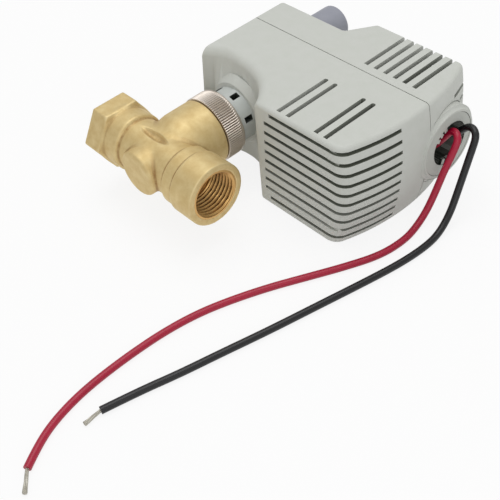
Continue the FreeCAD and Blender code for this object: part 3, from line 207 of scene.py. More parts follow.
finishSet = {
    "rough_brass": {
        "name": "castBrass", "colour": (224, 203, 151), "dark": (202, 174, 116), "scale": 2400,
        "mottle": 0.7, "rough": 0.5, "spread": 0.14, "bump": 0.7, "depth": 0.12, "metallic": 0.7},
    "turned_brass": {
        "name": "turnedBrass", "colour": (216, 175, 112), "dark": (196, 150, 88), "scale": 5000,
        "mottle": 0.4, "rough": 0.34, "spread": 0.1, "bump": 0.1, "depth": 0.02, "metallic": 0.9},
    "champagne_plate": {
        "name": "nickelPlate", "colour": (218, 208, 198), "dark": (198, 184, 170),
        "scale": 4200, "mottle": 0.5, "rough": 0.3, "spread": 0.12, "bump": 0.2, "depth": 0.03,
        "metallic": 0.9},
    "housing_plastic": {
        "name": "housingPlastic", "colour": (197, 199, 193), "dark": (191, 194, 186),
        "scale": 3800, "mottle": 0.6, "rough": 0.5, "spread": 0.08, "bump": 0.25, "depth": 0.04},
    "cover_plastic": {
        "name": "coverPlastic", "colour": (197, 199, 193), "dark": (191, 194, 186),
        "scale": 3800, "mottle": 0.6, "rough": 0.5, "spread": 0.08, "bump": 0.25, "depth": 0.04},
    "collar_plastic": {
        "name": "collarPlastic", "colour": (188, 192, 189), "dark": (180, 185, 181),
        "scale": 3600, "mottle": 0.5, "rough": 0.42, "spread": 0.08, "bump": 0.2, "depth": 0.03},
    "bush_plastic": {
        "name": "bushPlastic", "colour": (186, 189, 182), "dark": (178, 182, 174),
        "scale": 3600, "mottle": 0.5, "rough": 0.5, "spread": 0.08, "bump": 0.25, "depth": 0.04},
    "lever_plastic": {
        "name": "leverPlastic", "colour": (148, 150, 160), "dark": (138, 140, 151),
        "scale": 3600, "mottle": 0.5, "rough": 0.45, "spread": 0.08, "bump": 0.25, "depth": 0.04},
    "gear_plastic": {
        "name": "gearPlastic", "colour": (236, 232, 214), "dark": (228, 222, 200),
        "scale": 3000, "mottle": 0.4, "rough": 0.3, "spread": 0.06, "bump": 0.1, "depth": 0.02},
    "pinion_plastic": {
        "name": "pinionPlastic", "colour": (226, 220, 198), "dark": (216, 208, 184),
        "scale": 3000, "mottle": 0.4, "rough": 0.3, "spread": 0.06, "bump": 0.1, "depth": 0.02},
    "bobbin_plastic": {
        "name": "bobbinPlastic", "colour": (228, 228, 222), "dark": (218, 218, 210),
        "scale": 3000, "mottle": 0.4, "rough": 0.35, "spread": 0.06, "bump": 0.1, "depth": 0.02},
    "clamp_plastic": {
        "name": "clampPlastic", "colour": (62, 62, 64), "dark": (52, 52, 54), "scale": 3000,
        "mottle": 0.4, "rough": 0.45, "spread": 0.06, "bump": 0.2, "depth": 0.03},
    "plate_steel": {
        "name": "plateSteel", "colour": (196, 198, 200), "dark": (180, 182, 186), "scale": 1500,
        "mottle": 0.6, "rough": 0.3, "spread": 0.15, "bump": 0.1, "depth": 0.02, "metallic": 1.0},
    "can_steel": {
        "name": "canSteel", "colour": (190, 190, 188), "dark": (172, 172, 170), "scale": 1500,
        "mottle": 0.6, "rough": 0.32, "spread": 0.15, "bump": 0.1, "depth": 0.02,
        "metallic": 1.0},
    "spring_steel": {
        "name": "springSteel", "colour": (178, 178, 176), "dark": (150, 150, 148),
        "scale": 2500, "mottle": 0.5, "rough": 0.25, "spread": 0.12, "bump": 0.1, "depth": 0.02,
        "metallic": 1.0},
    "rod_steel": {
        "name": "rodSteel", "colour": (204, 204, 204), "dark": (188, 188, 190), "scale": 2500,
        "mottle": 0.5, "rough": 0.18, "spread": 0.1, "bump": 0.08, "depth": 0.01,
        "metallic": 1.0},
    "screw_steel": {
        "name": "screwSteel", "colour": (198, 198, 196), "dark": (176, 176, 172), "scale": 2500,
        "mottle": 0.5, "rough": 0.28, "spread": 0.12, "bump": 0.12, "depth": 0.02,
        "metallic": 1.0},
    "magnet": {
        "name": "magnetFerrite", "colour": (58, 58, 60), "dark": (44, 44, 46), "scale": 1800,
        "mottle": 0.7, "rough": 0.55, "spread": 0.1, "bump": 0.3, "depth": 0.05, "metallic": 0.2},
    "copper_winding": {
        "name": "copperWinding", "colour": (176, 92, 48), "dark": (140, 66, 32), "scale": 1800,
        "mottle": 0.8, "rough": 0.3, "spread": 0.1, "bump": 0.3, "depth": 0.05, "metallic": 0.9},
    "bearing_bronze": {
        "name": "bearingBronze", "colour": (176, 136, 84), "dark": (150, 110, 64),
        "scale": 2200, "mottle": 0.7, "rough": 0.4, "spread": 0.12, "bump": 0.2, "depth": 0.03,
        "metallic": 1.0},
    "seal_rubber": {
        "name": "sealRubber", "colour": (38, 38, 38), "dark": (28, 28, 28), "scale": 2600,
        "mottle": 0.5, "rough": 0.5, "spread": 0.1, "bump": 0.2, "depth": 0.03},
    "bush_nylon": {
        "name": "bushNylon", "colour": (236, 236, 230), "dark": (226, 226, 220), "scale": 2600,
        "mottle": 0.4, "rough": 0.4, "spread": 0.08, "bump": 0.1, "depth": 0.02},
    "red_insulation": {
        "name": "redInsulation", "colour": (170, 10, 52), "dark": (156, 9, 45), "scale": 2200,
        "mottle": 0.6, "rough": 0.36, "spread": 0.1, "bump": 0.12, "depth": 0.03,
        "metallic": 0.0, "coat": 0.05},
    "black_insulation": {
        "name": "blackInsulation", "colour": (17, 17, 20), "dark": (13, 13, 15), "scale": 2200,
        "mottle": 0.6, "rough": 0.36, "spread": 0.1, "bump": 0.12, "depth": 0.03,
        "metallic": 0.0, "coat": 0.05},
    "tin": {
        "name": "tinnedStrands", "colour": (190, 187, 176), "dark": (150, 145, 130),
        "scale": 3200, "mottle": 0.7, "rough": 0.4, "spread": 0.15, "bump": 0.3, "depth": 0.03,
        "metallic": 0.8}}
finishes = {slot: finish(**s) for slot, s in finishSet.items()}


hollowHighlightSet = {
    "spotScale": 420.0, "spotDetail": 4.0, "spotRough": 0.65, "spotFrom": 0.3, "spotTo": 0.6,
    "spotLeast": 0.35, "edgeFrom": 0.4, "edgeTo": 2.6}


def buildHollowHighlightGroup(s=hollowHighlightSet):
    # darker in the hollows and a painted highlight on the edges, from the piece's own bend
    # attribute, more in some spots than in others
    group, take, give = newGroup(
        "hollowAndEdgeHighlight",
        {"Colour": "Color", "Hollow": "Color", "Edge": "Color", "Hollow from": "Float",
         "Hollow to": "Float"},
        {"Colour": "Color"})
    bend = addNode(group, "ShaderNodeAttribute", attribute_name="bend").outputs["Fac"]
    place = addNode(group, "ShaderNodeTexCoord").outputs["Object"]
    patch = addNode(group, "ShaderNodeTexNoise",
                    {"Vector": place, "Scale": s["spotScale"], "Detail": s["spotDetail"],
                     "Roughness": s["spotRough"]})
    spots = addNode(group, "ShaderNodeMapRange",
                    {"Value": patch.outputs["Fac"], "From Min": s["spotFrom"],
                     "From Max": s["spotTo"], "To Min": s["spotLeast"]})
    base = take.outputs["Colour"]
    for colour, first, last in (
            ("Hollow", take.outputs["Hollow from"], take.outputs["Hollow to"]),
            ("Edge", s["edgeFrom"], s["edgeTo"])):
        reach = addNode(group, "ShaderNodeMapRange",
                        {"Value": bend, "From Min": first, "From Max": last})
        share = addNode(group, "ShaderNodeMath", {0: reach.outputs[0], 1: spots.outputs[0]},
                        operation="MULTIPLY")
        mixed = addNode(group, "ShaderNodeMix", {0: share.outputs[0], 6: base,
                                                 7: take.outputs[colour]}, data_type="RGBA")
        base = mixed.outputs[2]
    group.links.new(base, give.inputs["Colour"])
    return group


def buildShadeGroup():
    # painted shade: a darker plastic colour deep in its slots and inside, from the piece's own
    # shelter
    group, take, give = newGroup("shelterShade", {"Colour": "Color", "Deep": "Color"},
                                 {"Colour": "Color"})
    shelter = addNode(group, "ShaderNodeAttribute", attribute_name="shelter").outputs["Fac"]
    mixed = addNode(group, "ShaderNodeMix", {0: shelter, 6: take.outputs["Colour"],
                                             7: take.outputs["Deep"]}, data_type="RGBA")
    group.links.new(mixed.outputs[2], give.inputs["Colour"])
    return group


def addEffect(slot, group, **values):
    # the group's colour instead of the one that the finish had
    tree = finishes[slot].node_tree
    shader = tree.nodes["Principled BSDF"]
    base = shader.inputs["Base Color"].links[0].from_socket
    effect = addNode(tree, "ShaderNodeGroup", {"Colour": base, **values}, node_tree=group)
    tree.links.new(effect.outputs["Colour"], shader.inputs["Base Color"])


# reach is the bend at which a hollow starts to darken, and the one at which it is darkest
# the hollow colour darkens the hollows; the edge colour is a painted highlight
hollowHighlightColours = {
    "rough_brass": {"hollow": (146, 104, 54), "edge": (234, 216, 168), "reach": (-0.1, -0.7)},
    "turned_brass": {"hollow": (84, 40, 14), "edge": (240, 214, 160), "reach": (-0.2, -0.9)},
    "champagne_plate": {"hollow": (72, 58, 42), "edge": (244, 240, 234),
                        "reach": (-0.15, -0.85)}}
hollowHighlightGroup = buildHollowHighlightGroup()
for slot, hollowHighlight in hollowHighlightColours.items():
    addEffect(slot, hollowHighlightGroup, **{
        "Hollow": tone(*hollowHighlight["hollow"]), "Edge": tone(*hollowHighlight["edge"]),
        "Hollow from": hollowHighlight["reach"][0], "Hollow to": hollowHighlight["reach"][1]})

# painted shade: darker colours deep inside, where little light gets
paintedShadeSet = {
    "housing_plastic": (104, 108, 97), "cover_plastic": (104, 108, 97),
    "collar_plastic": (44, 50, 42), "bush_plastic": (44, 50, 42)}
shadeGroup = buildShadeGroup()
for slot, deep in paintedShadeSet.items():
    addEffect(slot, shadeGroup, Deep=tone(*deep))
print("materials", len(finishes))


# Mesh helpers.
def addPiece(name, points, faces, slot, body, standsFor=(), sharp=40.0):
    # a mesh from points in the valve's frame, smooth except over the sharp angle
    mesh = bpy.data.meshes.new(name)
    mesh.from_pydata(toFrame(points).tolist(), [], [list(face) for face in faces])
    mesh.validate()
    mesh.shade_smooth()
    mesh.set_sharp_from_angle(angle=math.radians(sharp))
    mesh.materials.append(finishes[slot])
    piece = bpy.data.objects.new(name, mesh)
    scene.collection.objects.link(piece)
    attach(piece, body)
    if standsFor:
        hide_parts(*standsFor)
    return piece


def storeBend(piece, bend):
    # below 0 in a hollow and above 0 on an edge, for the finishes with darker hollows and painted
    # edge highlights
    store = piece.data.attributes.new("bend", "FLOAT", "POINT")
    store.data.foreach_set("value", np.ascontiguousarray(bend, np.float32).ravel())


def wrapFaces(rows, columns, closeRows=True, closeColumns=True):
    # quads of a grid of points numbered row by row, joined round where it closes
    i = np.arange(rows if closeRows else rows - 1)[:, None]
    j = np.arange(columns if closeColumns else columns - 1)[None, :]
    nextI = (i + 1) % rows
    nextJ = (j + 1) % columns
    quads = np.stack(np.broadcast_arrays(i * columns + j, i * columns + nextJ,
                                         nextI * columns + nextJ, nextI * columns + j), -1)
    return quads.reshape(-1, 4)


dressSet = {"weld": 0.002, "flat": 1.0, "sharp": 38, "segments": 2}


def dressCopy(node, name, edge, s=dressSet):
    # a CAD node's own shape as one welded mesh, its edges eased, with the same place
    piece = nodes[node].copy()
    piece.data = nodes[node].data.copy()
    piece.name = name
    piece.data.name = name
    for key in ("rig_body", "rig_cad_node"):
        del piece[key]
    piece.parent = None
    piece.matrix_world = Matrix.Identity(4)
    scene.collection.objects.link(piece)
    work = bmesh.new()
    work.from_mesh(piece.data)
    bmesh.ops.remove_doubles(work, verts=work.verts, dist=s["weld"] * mm)
    bmesh.ops.dissolve_limit(work, angle_limit=math.radians(s["flat"]), verts=work.verts,
                             edges=work.edges)
    work.to_mesh(piece.data)
    work.free()
    piece.data.shade_smooth()
    if edge:
        ease = piece.modifiers.new("ease", "BEVEL")
        ease.width = edge * mm
        ease.segments = s["segments"]
        ease.limit_method = "ANGLE"
        ease.angle_limit = math.radians(s["sharp"])
        ease.use_clamp_overlap = True
        ease.harden_normals = False
    piece.data.set_sharp_from_angle(angle=math.radians(s["sharp"]))
    piece.data.materials.clear()
    piece.data.materials.append(finishes[slotOf[node]])
    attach(piece, bodyOf[node])
    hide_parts(node)
    return piece


def pointsOf(mesh):
    # a mesh's points as rows, in metres
    points = np.empty(len(mesh.vertices) * 3)
    mesh.vertices.foreach_get("co", points)
    return points.reshape(-1, 3)


shelterSet = {"rays": 40, "reach": 45.0, "lift": 0.05, "rise": 0.1}


def storeShelter(piece, bare, deep, s=shelterSet):
    # how closed in each face is, for the painted shade, 0 outside and 1 deep inside: the share
    # of even directions above it (turned by the golden angle, evenly in height) that meet the
    # piece itself, taken as 0 up to the share bare and as 1 from the share deep
    mesh = piece.data
    tree = BVHTree.FromPolygons(pointsOf(mesh).tolist(),
                                [list(f.vertices) for f in mesh.polygons])
    number = np.arange(s["rays"]) + 0.5
    height = 1 - 2 * number / s["rays"]
    turn = number * math.pi * (3 - math.sqrt(5))
    ring = np.sqrt(1 - height ** 2)
    ways = np.stack([ring * np.cos(turn), ring * np.sin(turn), height], -1)
    values = []
    for face in mesh.polygons:
        start = face.center + face.normal * s["lift"] * mm
        above = ways[ways @ np.array(face.normal) > s["rise"]]
        met = sum(tree.ray_cast(start, Vector(way), s["reach"] * mm)[0] is not None
                  for way in above.tolist())
        share = (met / max(len(above), 1) - bare) / (deep - bare)
        values += [min(max(share, 0.0), 1.0)] * face.loop_total
    store = mesh.attributes.new("shelter", "FLOAT", "CORNER")
    store.data.foreach_set("value", values)


def eased(share):
    # a smooth step from 0 to 1: three squares less two cubes
    share = np.clip(share, 0, 1)
    return share * share * (3 - 2 * share)


backSet = {"most": 4.1, "right": 4.0, "left": -17.7, "low": 10.0, "high": 24.0,
           "behind": 53.0, "front": 43.0}


def drawBack(piece, s=backSet):
    # the housing's upper left corner, drawn towards the cover: a shift along Y that grows
    # towards the left end, the top and the front
    points = (pointsOf(piece.data) - valveCentre) / mm
    x, y, z = points.T
    points[:, 1] += (s["most"] * eased((s["right"] - x) / (s["right"] - s["left"]))
                     * eased((z - s["low"]) / (s["high"] - s["low"]))
                     * eased((s["behind"] - y) / (s["behind"] - s["front"])))
    piece.data.vertices.foreach_set("co", toFrame(points).ravel())
    piece.data.update()


# Blended distance fields for the casting.
def roundedBoth(first, second, radius):
    # where two forms overlap, with the edge between them rounded: the larger distance, and
    # within the radius of both surfaces the hypotenuse of the two
    u = np.maximum(first + radius, 0)
    v = np.maximum(second + radius, 0)
    return np.hypot(u, v) + np.minimum(np.maximum(first, second) + radius, 0) - radius


def softJoin(first, second, width):
    # both forms together, with a fillet about as wide as given where they meet: the two
    # distances mixed by their difference, less a bulge that is largest at an even mix
    mix = np.clip(0.5 + 0.5 * (second - first) / width, 0, 1)
    return second * (1 - mix) + first * mix - width * mix * (1 - mix)


netSet = {"rounds": 5, "probe": 0.05, "least": 0.2, "stray": 0.6}


def netOf(distance, low, high, step, s=netSet):
    # the surface of a distance field as quads: one point in each grid cell that the
    # surface crosses, moved onto it along the field's gradient, and a quad round each
    # grid edge whose ends lie on different sides
    low = np.asarray(low, float)
    axes = [np.arange(a, b + step, step) for a, b in zip(low, high)]
    shape = tuple(len(a) for a in axes)
    grid = np.stack(np.meshgrid(*axes, indexing="ij"), -1).reshape(-1, 3)
    inside = (distance(grid) < 0).reshape(shape)
    count = sum(inside[i:shape[0] - 1 + i, j:shape[1] - 1 + j, k:shape[2] - 1 + k].astype(int)
                for i, j, k in itertools.product((0, 1), repeat=3))
    mixed = (count > 0) & (count < 8)
    number = np.full(mixed.shape, -1)
    number[mixed] = np.arange(mixed.sum())
    points = low + (np.argwhere(mixed) + 0.5) * step
    home = points.copy()
    small = step * s["probe"]
    for _ in range(s["rounds"]):
        here = distance(points)
        slope = np.stack([(distance(points + small * e) - distance(points - small * e))
                          / (2 * small) for e in np.eye(3)], -1)
        move = -(here / np.maximum((slope ** 2).sum(1), s["least"]))[:, None] * slope
        points = np.clip(points + move, home - s["stray"] * step, home + s["stray"] * step)
    quads = []
    for axis in range(3):
        order = [axis, (axis + 1) % 3, (axis + 2) % 3]
        side = inside.transpose(order)
        cells = number.transpose(order)
        i, j, k = np.nonzero(side[:-1, 1:-1, 1:-1] != side[1:, 1:-1, 1:-1])
        quad = np.stack([cells[i, j, k], cells[i, j + 1, k], cells[i, j + 1, k + 1],
                         cells[i, j, k + 1]], -1)
        outward = side[i, j + 1, k + 1]
        quads.append(np.where(outward[:, None], quad, quad[:, ::-1]))
    return points, np.concatenate(quads)


castSet = {
    "step": 0.45, "bendReach": 0.9, "low": (-34.5, -16.6, -17), "high": (34.5, 31, 17),
    "pipeHalf": 33.0, "waist": 11.5, "waistHalf": 24,
    "hexFlats": 27.0, "hexMiddle": -28.25, "hexHalf": 4.75, "hexBack": 14.9, "hexSlope": 1.2,
    "hexRound": 1.1, "hexEdge": 0.6, "hexBackEdge": 0.6, "hexFillet": 1.8,
    "barrel": 12.9, "barrelMiddle": -20.0, "barrelHalf": 5.0, "barrelEdge": 0.9,
    "barrelFillet": 1.4,
    "shoulder": 12.8, "shoulderMiddle": 18.0, "shoulderHalf": 3.4, "shoulderEdge": 0.8,
    "shoulderFillet": 1.2,
    "spigot": 13.6, "spigotMiddle": 27.0, "spigotHalf": 6.0, "spigotEdge": 0.4,
    "spigotFillet": 0.7,
    "boss": 10.0, "bossEnd": 13.4, "bossEdge": 1.5, "bossFillet": 1.1,
    "bonnet": 14.5, "bonnetFoot": 11.0, "bonnetFootPlace": 2.0, "bonnetStart": 6.5,
    "bonnetRound": 3.5, "bonnetTop": 23.65, "bonnetEdge": 0.5, "bonnetFillet": 1.8,
    "neck": 12.6, "neckTop": 29.6, "neckRoot": 1,
    "bore": 10.6, "boreDepth": 15.2, "boreEdge": 0.12, "passage": 4.4,
    "insertBore": 9.05, "insertStart": 13.9,
    "dimplePlace": (-1.6, -0.4, 13.0), "dimpleSize": (9.4, 2.3, 3.3), "dimpleSlope": 2.0,
    "dimpleEdge": 0.25}


def castRing(around, x, kind, s=castSet):
    # a ring round the pipe: a cylinder cut off at both ends, with rounded edges
    return roundedBoth(around - s[kind], np.abs(x - s[kind + "Middle"]) - s[kind + "Half"],
                       s[kind + "Edge"])


def castHexagon(points, around, s=castSet):
    # the hexagon: the largest distance from its flats, with rounded corners between them,
    # cut off at both ends and by a cone at its back
    x, y, z = points.T
    sixth = math.radians(60)
    turned = np.arctan2(y, z)
    turned = turned - sixth * np.round(turned / sixth)
    half = s["hexFlats"] / 2 - s["hexRound"]
    flat = around * np.cos(turned) - half
    overside = around * np.abs(np.sin(turned)) - half / math.sqrt(3)
    flats = np.where(overside > 0, np.hypot(np.maximum(flat, 0), overside), flat) - s["hexRound"]
    along = np.abs(x - s["hexMiddle"]) - s["hexHalf"]
    back = x - (s["hexMiddle"] + s["hexHalf"])
    corner = (around - s["hexBack"] + back * s["hexSlope"]) / math.hypot(1, s["hexSlope"])
    return roundedBoth(roundedBoth(flats, along, s["hexEdge"]), corner, s["hexBackEdge"])


def castBonnet(y, upright, s=castSet):
    # the bonnet: a cylinder over a cone, cut off at its top
    slant = math.atan2(s["bonnet"] - s["bonnetFoot"], s["bonnetStart"] - s["bonnetFootPlace"])
    cone = ((upright - s["bonnetFoot"]) * math.cos(slant)
            - (y - s["bonnetFootPlace"]) * math.sin(slant))
    return roundedBoth(roundedBoth(upright - s["bonnet"], cone, s["bonnetRound"]),
                       y - s["bonnetTop"], s["bonnetEdge"])


def castForm(points, s=castSet):
    # signed distance of the brass casting, negative inside: its forms joined with fillets,
    # less the dimple, the two bores and the insert's bore
    x, y, z = points.T
    around = np.hypot(y, z)
    upright = np.hypot(x, z)
    form = np.maximum(around - s["waist"], np.abs(x) - s["waistHalf"])
    form = softJoin(form, castRing(around, x, "barrel"), s["barrelFillet"])
    form = softJoin(form, castRing(around, x, "shoulder"), s["shoulderFillet"])
    boss = roundedBoth(upright - s["boss"], -s["bossEnd"] - y, s["bossEdge"])
    form = softJoin(form, np.maximum(boss, y), s["bossFillet"])
    form = softJoin(form, castBonnet(y, upright), s["bonnetFillet"])
    form = softJoin(form, castRing(around, x, "spigot"), s["spigotFillet"])
    form = softJoin(form, castHexagon(points, around), s["hexFillet"])
    neck = np.maximum(s["bonnetTop"] - s["neckRoot"] - y, y - s["neckTop"])
    form = np.minimum(form, np.maximum(upright - s["neck"], neck))
    hollow = (points - np.array(s["dimplePlace"])) / np.array(s["dimpleSize"])
    dimple = (np.linalg.norm(hollow, axis=1) - 1) * s["dimpleSlope"]
    form = roundedBoth(form, -dimple, s["dimpleEdge"])
    bore = np.maximum(around - s["bore"], s["pipeHalf"] - s["boreDepth"] - np.abs(x))
    form = roundedBoth(form, -bore, s["boreEdge"])
    form = np.maximum(form, s["passage"] - around)
    return np.maximum(form, -np.maximum(upright - s["insertBore"], s["insertStart"] - y))


def addCasting(s=castSet):
    points, quads = netOf(castForm, s["low"], s["high"], s["step"])
    casting = addPiece("valveBody", points, quads, "rough_brass", "root", ["valve_body"],
                       sharp=180)
    # how much the field bends over the reach: below 0 in a hollow, above 0 on an edge, which gets
    # the painted highlight
    reach = s["bendReach"]
    bend = sum(castForm(points + reach * e) + castForm(points - reach * e) for e in np.eye(3))
    storeBend(casting, bend / reach)
    print("casting", len(points), "points")


addCasting()

# Pipe threads: a lining of each port with a real helix.
threadSet = {
    "major": 10.478, "minor": 9.315, "pitch": 1.814, "around": 180, "fine": 0.13,
    "crest": 0.97, "runOut": 0.4, "runOutLong": 1.6,
    "mouth": 32.95, "mouthRadius": 10.05, "mouthRun": 0.9, "mouthDepth": 0.3, "sinkSlope": 1.15,
    "floor": 19.0, "floorStep": 0.1, "seat": 17.6, "seatRadius": 4.9, "seatThick": 1.0,
    "seatLip": 0.4, "back": 11.3, "backStart": 0.35, "backEase": 0.1,
    "crestBend": 0.4, "rootBend": 1.3}


def addThread(name, side, s=threadSet):
    # radius = minor radius + thread height times a rounded triangle wave that advances
    # one pitch a turn, never less than the countersink at the mouth
    turn = np.linspace(0, 2 * math.pi, s["around"], endpoint=False)[:, None]
    along = np.arange(s["mouth"], s["floor"], -s["fine"])[None, :]
    phase = 2 * math.pi * along / s["pitch"] - turn * side
    wave = 0.5 + np.arcsin(s["crest"] * np.sin(phase)) / math.asin(s["crest"]) / 2
    fade = np.clip((along - s["floor"] - s["runOut"]) / s["runOutLong"], 0, 1)
    fade = fade * np.clip(s["mouthDepth"] + (s["mouth"] - along) / s["mouthRun"], 0, 1)
    radius = s["minor"] + (s["major"] - s["minor"]) * wave * fade
    sink = s["mouthRadius"] - (s["mouth"] - along) * s["sinkSlope"]
    radius = np.maximum(radius, sink)
    inner = np.stack(np.broadcast_arrays(along, radius), -1)
    rest = np.array([
        (s["floor"] - s["floorStep"], s["minor"]), (s["seat"], s["seatRadius"]),
        (s["seat"] - s["seatThick"], s["seatRadius"] - s["seatLip"]),
        (s["seat"] - s["seatThick"], s["back"]), (s["floor"], s["back"]),
        (s["mouth"] - s["backStart"], s["back"]),
        (s["mouth"] - s["backEase"], s["back"] - s["backEase"])])
    rest = np.broadcast_to(rest, (s["around"], *rest.shape))
    profile = np.concatenate([inner, rest], 1)
    points = np.stack([side * profile[..., 0], profile[..., 1] * np.cos(turn),
                       profile[..., 1] * np.sin(turn)], -1)
    faces = wrapFaces(s["around"], profile.shape[1])
    if side > 0:
        faces = faces[:, ::-1]
    lining = addPiece(name, points.reshape(-1, 3), faces, "turned_brass", "root")
    # the thread's roots are coloured darker, by the thread's depth
    bend = np.zeros(profile.shape[:2])
    bend[:, :inner.shape[1]] = s["crestBend"] - s["rootBend"] * wave * fade
    storeBend(lining, bend)


addThread("outletThread", 1)
addThread("inletThread", -1)
print("threads done")

# Knurled union nut.
nutSet = {
    "teeth": 90, "depth": 0.55, "perTooth": 10, "grooveCurve": 1.4, "knurlFrom": 24.2,
    "knurlTo": 31.9, "knurlRadius": 14.8, "crestBend": 1.2, "grooveBend": 2.2,
    "profile": [(12.7, 24.3), (13.8, 24.1), (14.45, 24.0), (14.7, 24.1), (14.88, 24.35),
                (14.88, 25.0), (14.88, 28.0), (14.88, 30.8), (14.88, 31.6), (14.7, 32.0),
                (14.7, 32.6), (14.6, 32.95), (14.2, 33.28), (12.6, 33.3), (11.85, 33.3),
                (11.85, 31.35), (12.7, 31.35), (12.7, 28.0)]}


def addNut(s=nutSet):
    # a ring turned about the stem, its outer band cut by a wave of V grooves
    profile = np.array(s["profile"])
    reach, height = profile.T
    count = s["teeth"] * s["perTooth"]
    turn = np.linspace(0, 2 * math.pi, count, endpoint=False)[:, None]
    groove = np.abs(((turn * s["teeth"] / (2 * math.pi)) % 1) * 2 - 1) ** s["grooveCurve"]
    cut = (reach > s["knurlRadius"]) & (height > s["knurlFrom"]) & (height < s["knurlTo"])
    radius = reach[None, :] - np.where(cut, s["depth"], 0)[None, :] * groove
    points = np.stack([radius * np.cos(turn), np.broadcast_to(height, radius.shape),
                       radius * np.sin(turn)], -1)
    nut = addPiece("unionNut", points.reshape(-1, 3), wrapFaces(count, len(profile)),
                   "champagne_plate", "nut", ["coupling_nut"], sharp=50)
    # grooves coloured darker as hollows, and the knurl's crests paled with a painted highlight
    storeBend(nut, np.where(cut, s["crestBend"] - s["grooveBend"] * groove, 0))


addNut()
print("nut done")

# Housing, cover and the other moulded pieces keep their own shapes, with eased edges, and
# with the shares of closed directions that storeShelter counts as bare and as deep, for
# their painted shade.
mouldedSet = {
    "front_housing": {"name": "frontHousing", "edge": 0.22, "shelter": (0.5, 0.8)},
    "rear_cover": {"name": "rearCover", "edge": 0.22, "shelter": (0.5, 0.8)},
    "entry_bush": {"name": "entryBush", "edge": 0.15, "shelter": (0.2, 0.5)},
    "mounting_collar": {"name": "mountingCollar", "edge": 0.15, "shelter": (0.5, 0.8)},
    "manual_lever": {"name": "manualLever", "edge": 0.2, "shelter": None}}
for node, moulded in mouldedSet.items():
    piece = dressCopy(node, moulded["name"], moulded["edge"])
    if moulded["shelter"]:
        storeShelter(piece, *moulded["shelter"])
    if node == "front_housing":
        drawBack(piece)


def addClosingSpring():
    # the closing spring, as a welded copy of its CAD node with a mesh of its own
    spring = dressCopy("closing_spring", "closingSpring", 0)
    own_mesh(spring)


addClosingSpring()
# the nodes that nothing stands for show as they are, in their own finish
for node, slot in slotOf.items():
    if not nodes[node].hide_render:
        nodes[node].data.materials.clear()
        nodes[node].data.materials.append(finishes[slot])
print("housing done")

# Leads: the red and the black wire, from the clamp inside to their tinned ends.
leadSet = {
    "diameter": 3.0, "redLength": 247.0, "blackLength": 218.0,
    "order": 3, "resolution": 8, "rings": 6,
    "redTip": (71.5, -121.8, -25.2), "blackTip": (63.8, -92.3, -25.2), "tipRadius": 0.6,
    "tipSwell": 0.25, "tipStart": -0.08, "tipRows": 49, "tipColumns": 70, "tipClose": 0.95,
    "tipCloseRun": 0.0501, "strands": 7, "lay": 1.6, "ripple": 0.13}
redRoute = [
    (66, 80.8, -6.6), (71.2, 80.8, -6.6), (75.0, 82.0, -2.8), (77.8, 83.4, 1.6),
    (80.6, 84.4, 6.2), (83.7, 83.3, 7.1), (85.9, 81.4, 5.5), (85.7, 78.8, 0.3),
    (85.2, 75.0, -6.6), (85.2, 70.8, -14.2), (85.6, 65.2, -21.0), (86.3, 57.8, -24.7),
    (87.5, 48.9, -24.7), (85.9, 36.3, -24.7), (79.4, 21.6, -24.7), (72.2, 7.5, -24.7),
    (65.7, -5.3, -24.7), (59.8, -19.4, -24.7), (55.5, -32.4, -24.7), (52.9, -47.0, -24.7),
    (52.0, -62.1, -24.7), (52.1, -77.6, -24.7), (53.3, -89.3, -24.7), (56.1, -100.8, -24.7),
    (60.4, -109.8, -24.7), (64.3, -115.9, -24.7)]
blackRoute = [
    (66, 86.0, -1.2), (71.6, 86.0, -1.2), (77.4, 87.4, 0.4), (81.8, 88.9, 4.1),
    (85.0, 89.4, 7.6), (88.1, 88.5, 8.1), (90.4, 86.8, 6.5), (90.8, 84.3, 1.6),
    (91.6, 80.0, -5.4), (92.6, 75.2, -12.8), (93.9, 69.4, -20.4), (95.3, 61.0, -24.7),
    (95.9, 51.6, -24.7), (94.5, 38.3, -24.7), (90.9, 21.8, -24.7), (86.1, 1.7, -24.7),
    (80.9, -20.4, -24.7), (75.8, -39.5, -24.7), (71.8, -55.5, -24.7), (67.2, -70.6, -24.7),
    (63.7, -84.9, -24.7)]


def addLead(name, route, slot, node, s=leadSet):
    # a round tube along a spline that has the route's points as its control points
    curve = bpy.data.curves.new(name, "CURVE")
    curve.dimensions = "3D"
    spline = curve.splines.new("NURBS")
    spline.points.add(len(route) - 1)
    for point, place in zip(spline.points, toFrame(route)):
        point.co = (*place, 1.0)
    spline.order_u = s["order"]
    spline.use_endpoint_u = True
    spline.resolution_u = s["resolution"]
    curve.bevel_depth = s["diameter"] / 2 * mm
    curve.bevel_resolution = s["rings"]
    curve.use_fill_caps = True
    curve.materials.append(finishes[slot])
    lead = bpy.data.objects.new(name, curve)
    scene.collection.objects.link(lead)
    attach(lead, "root")
    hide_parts(node)


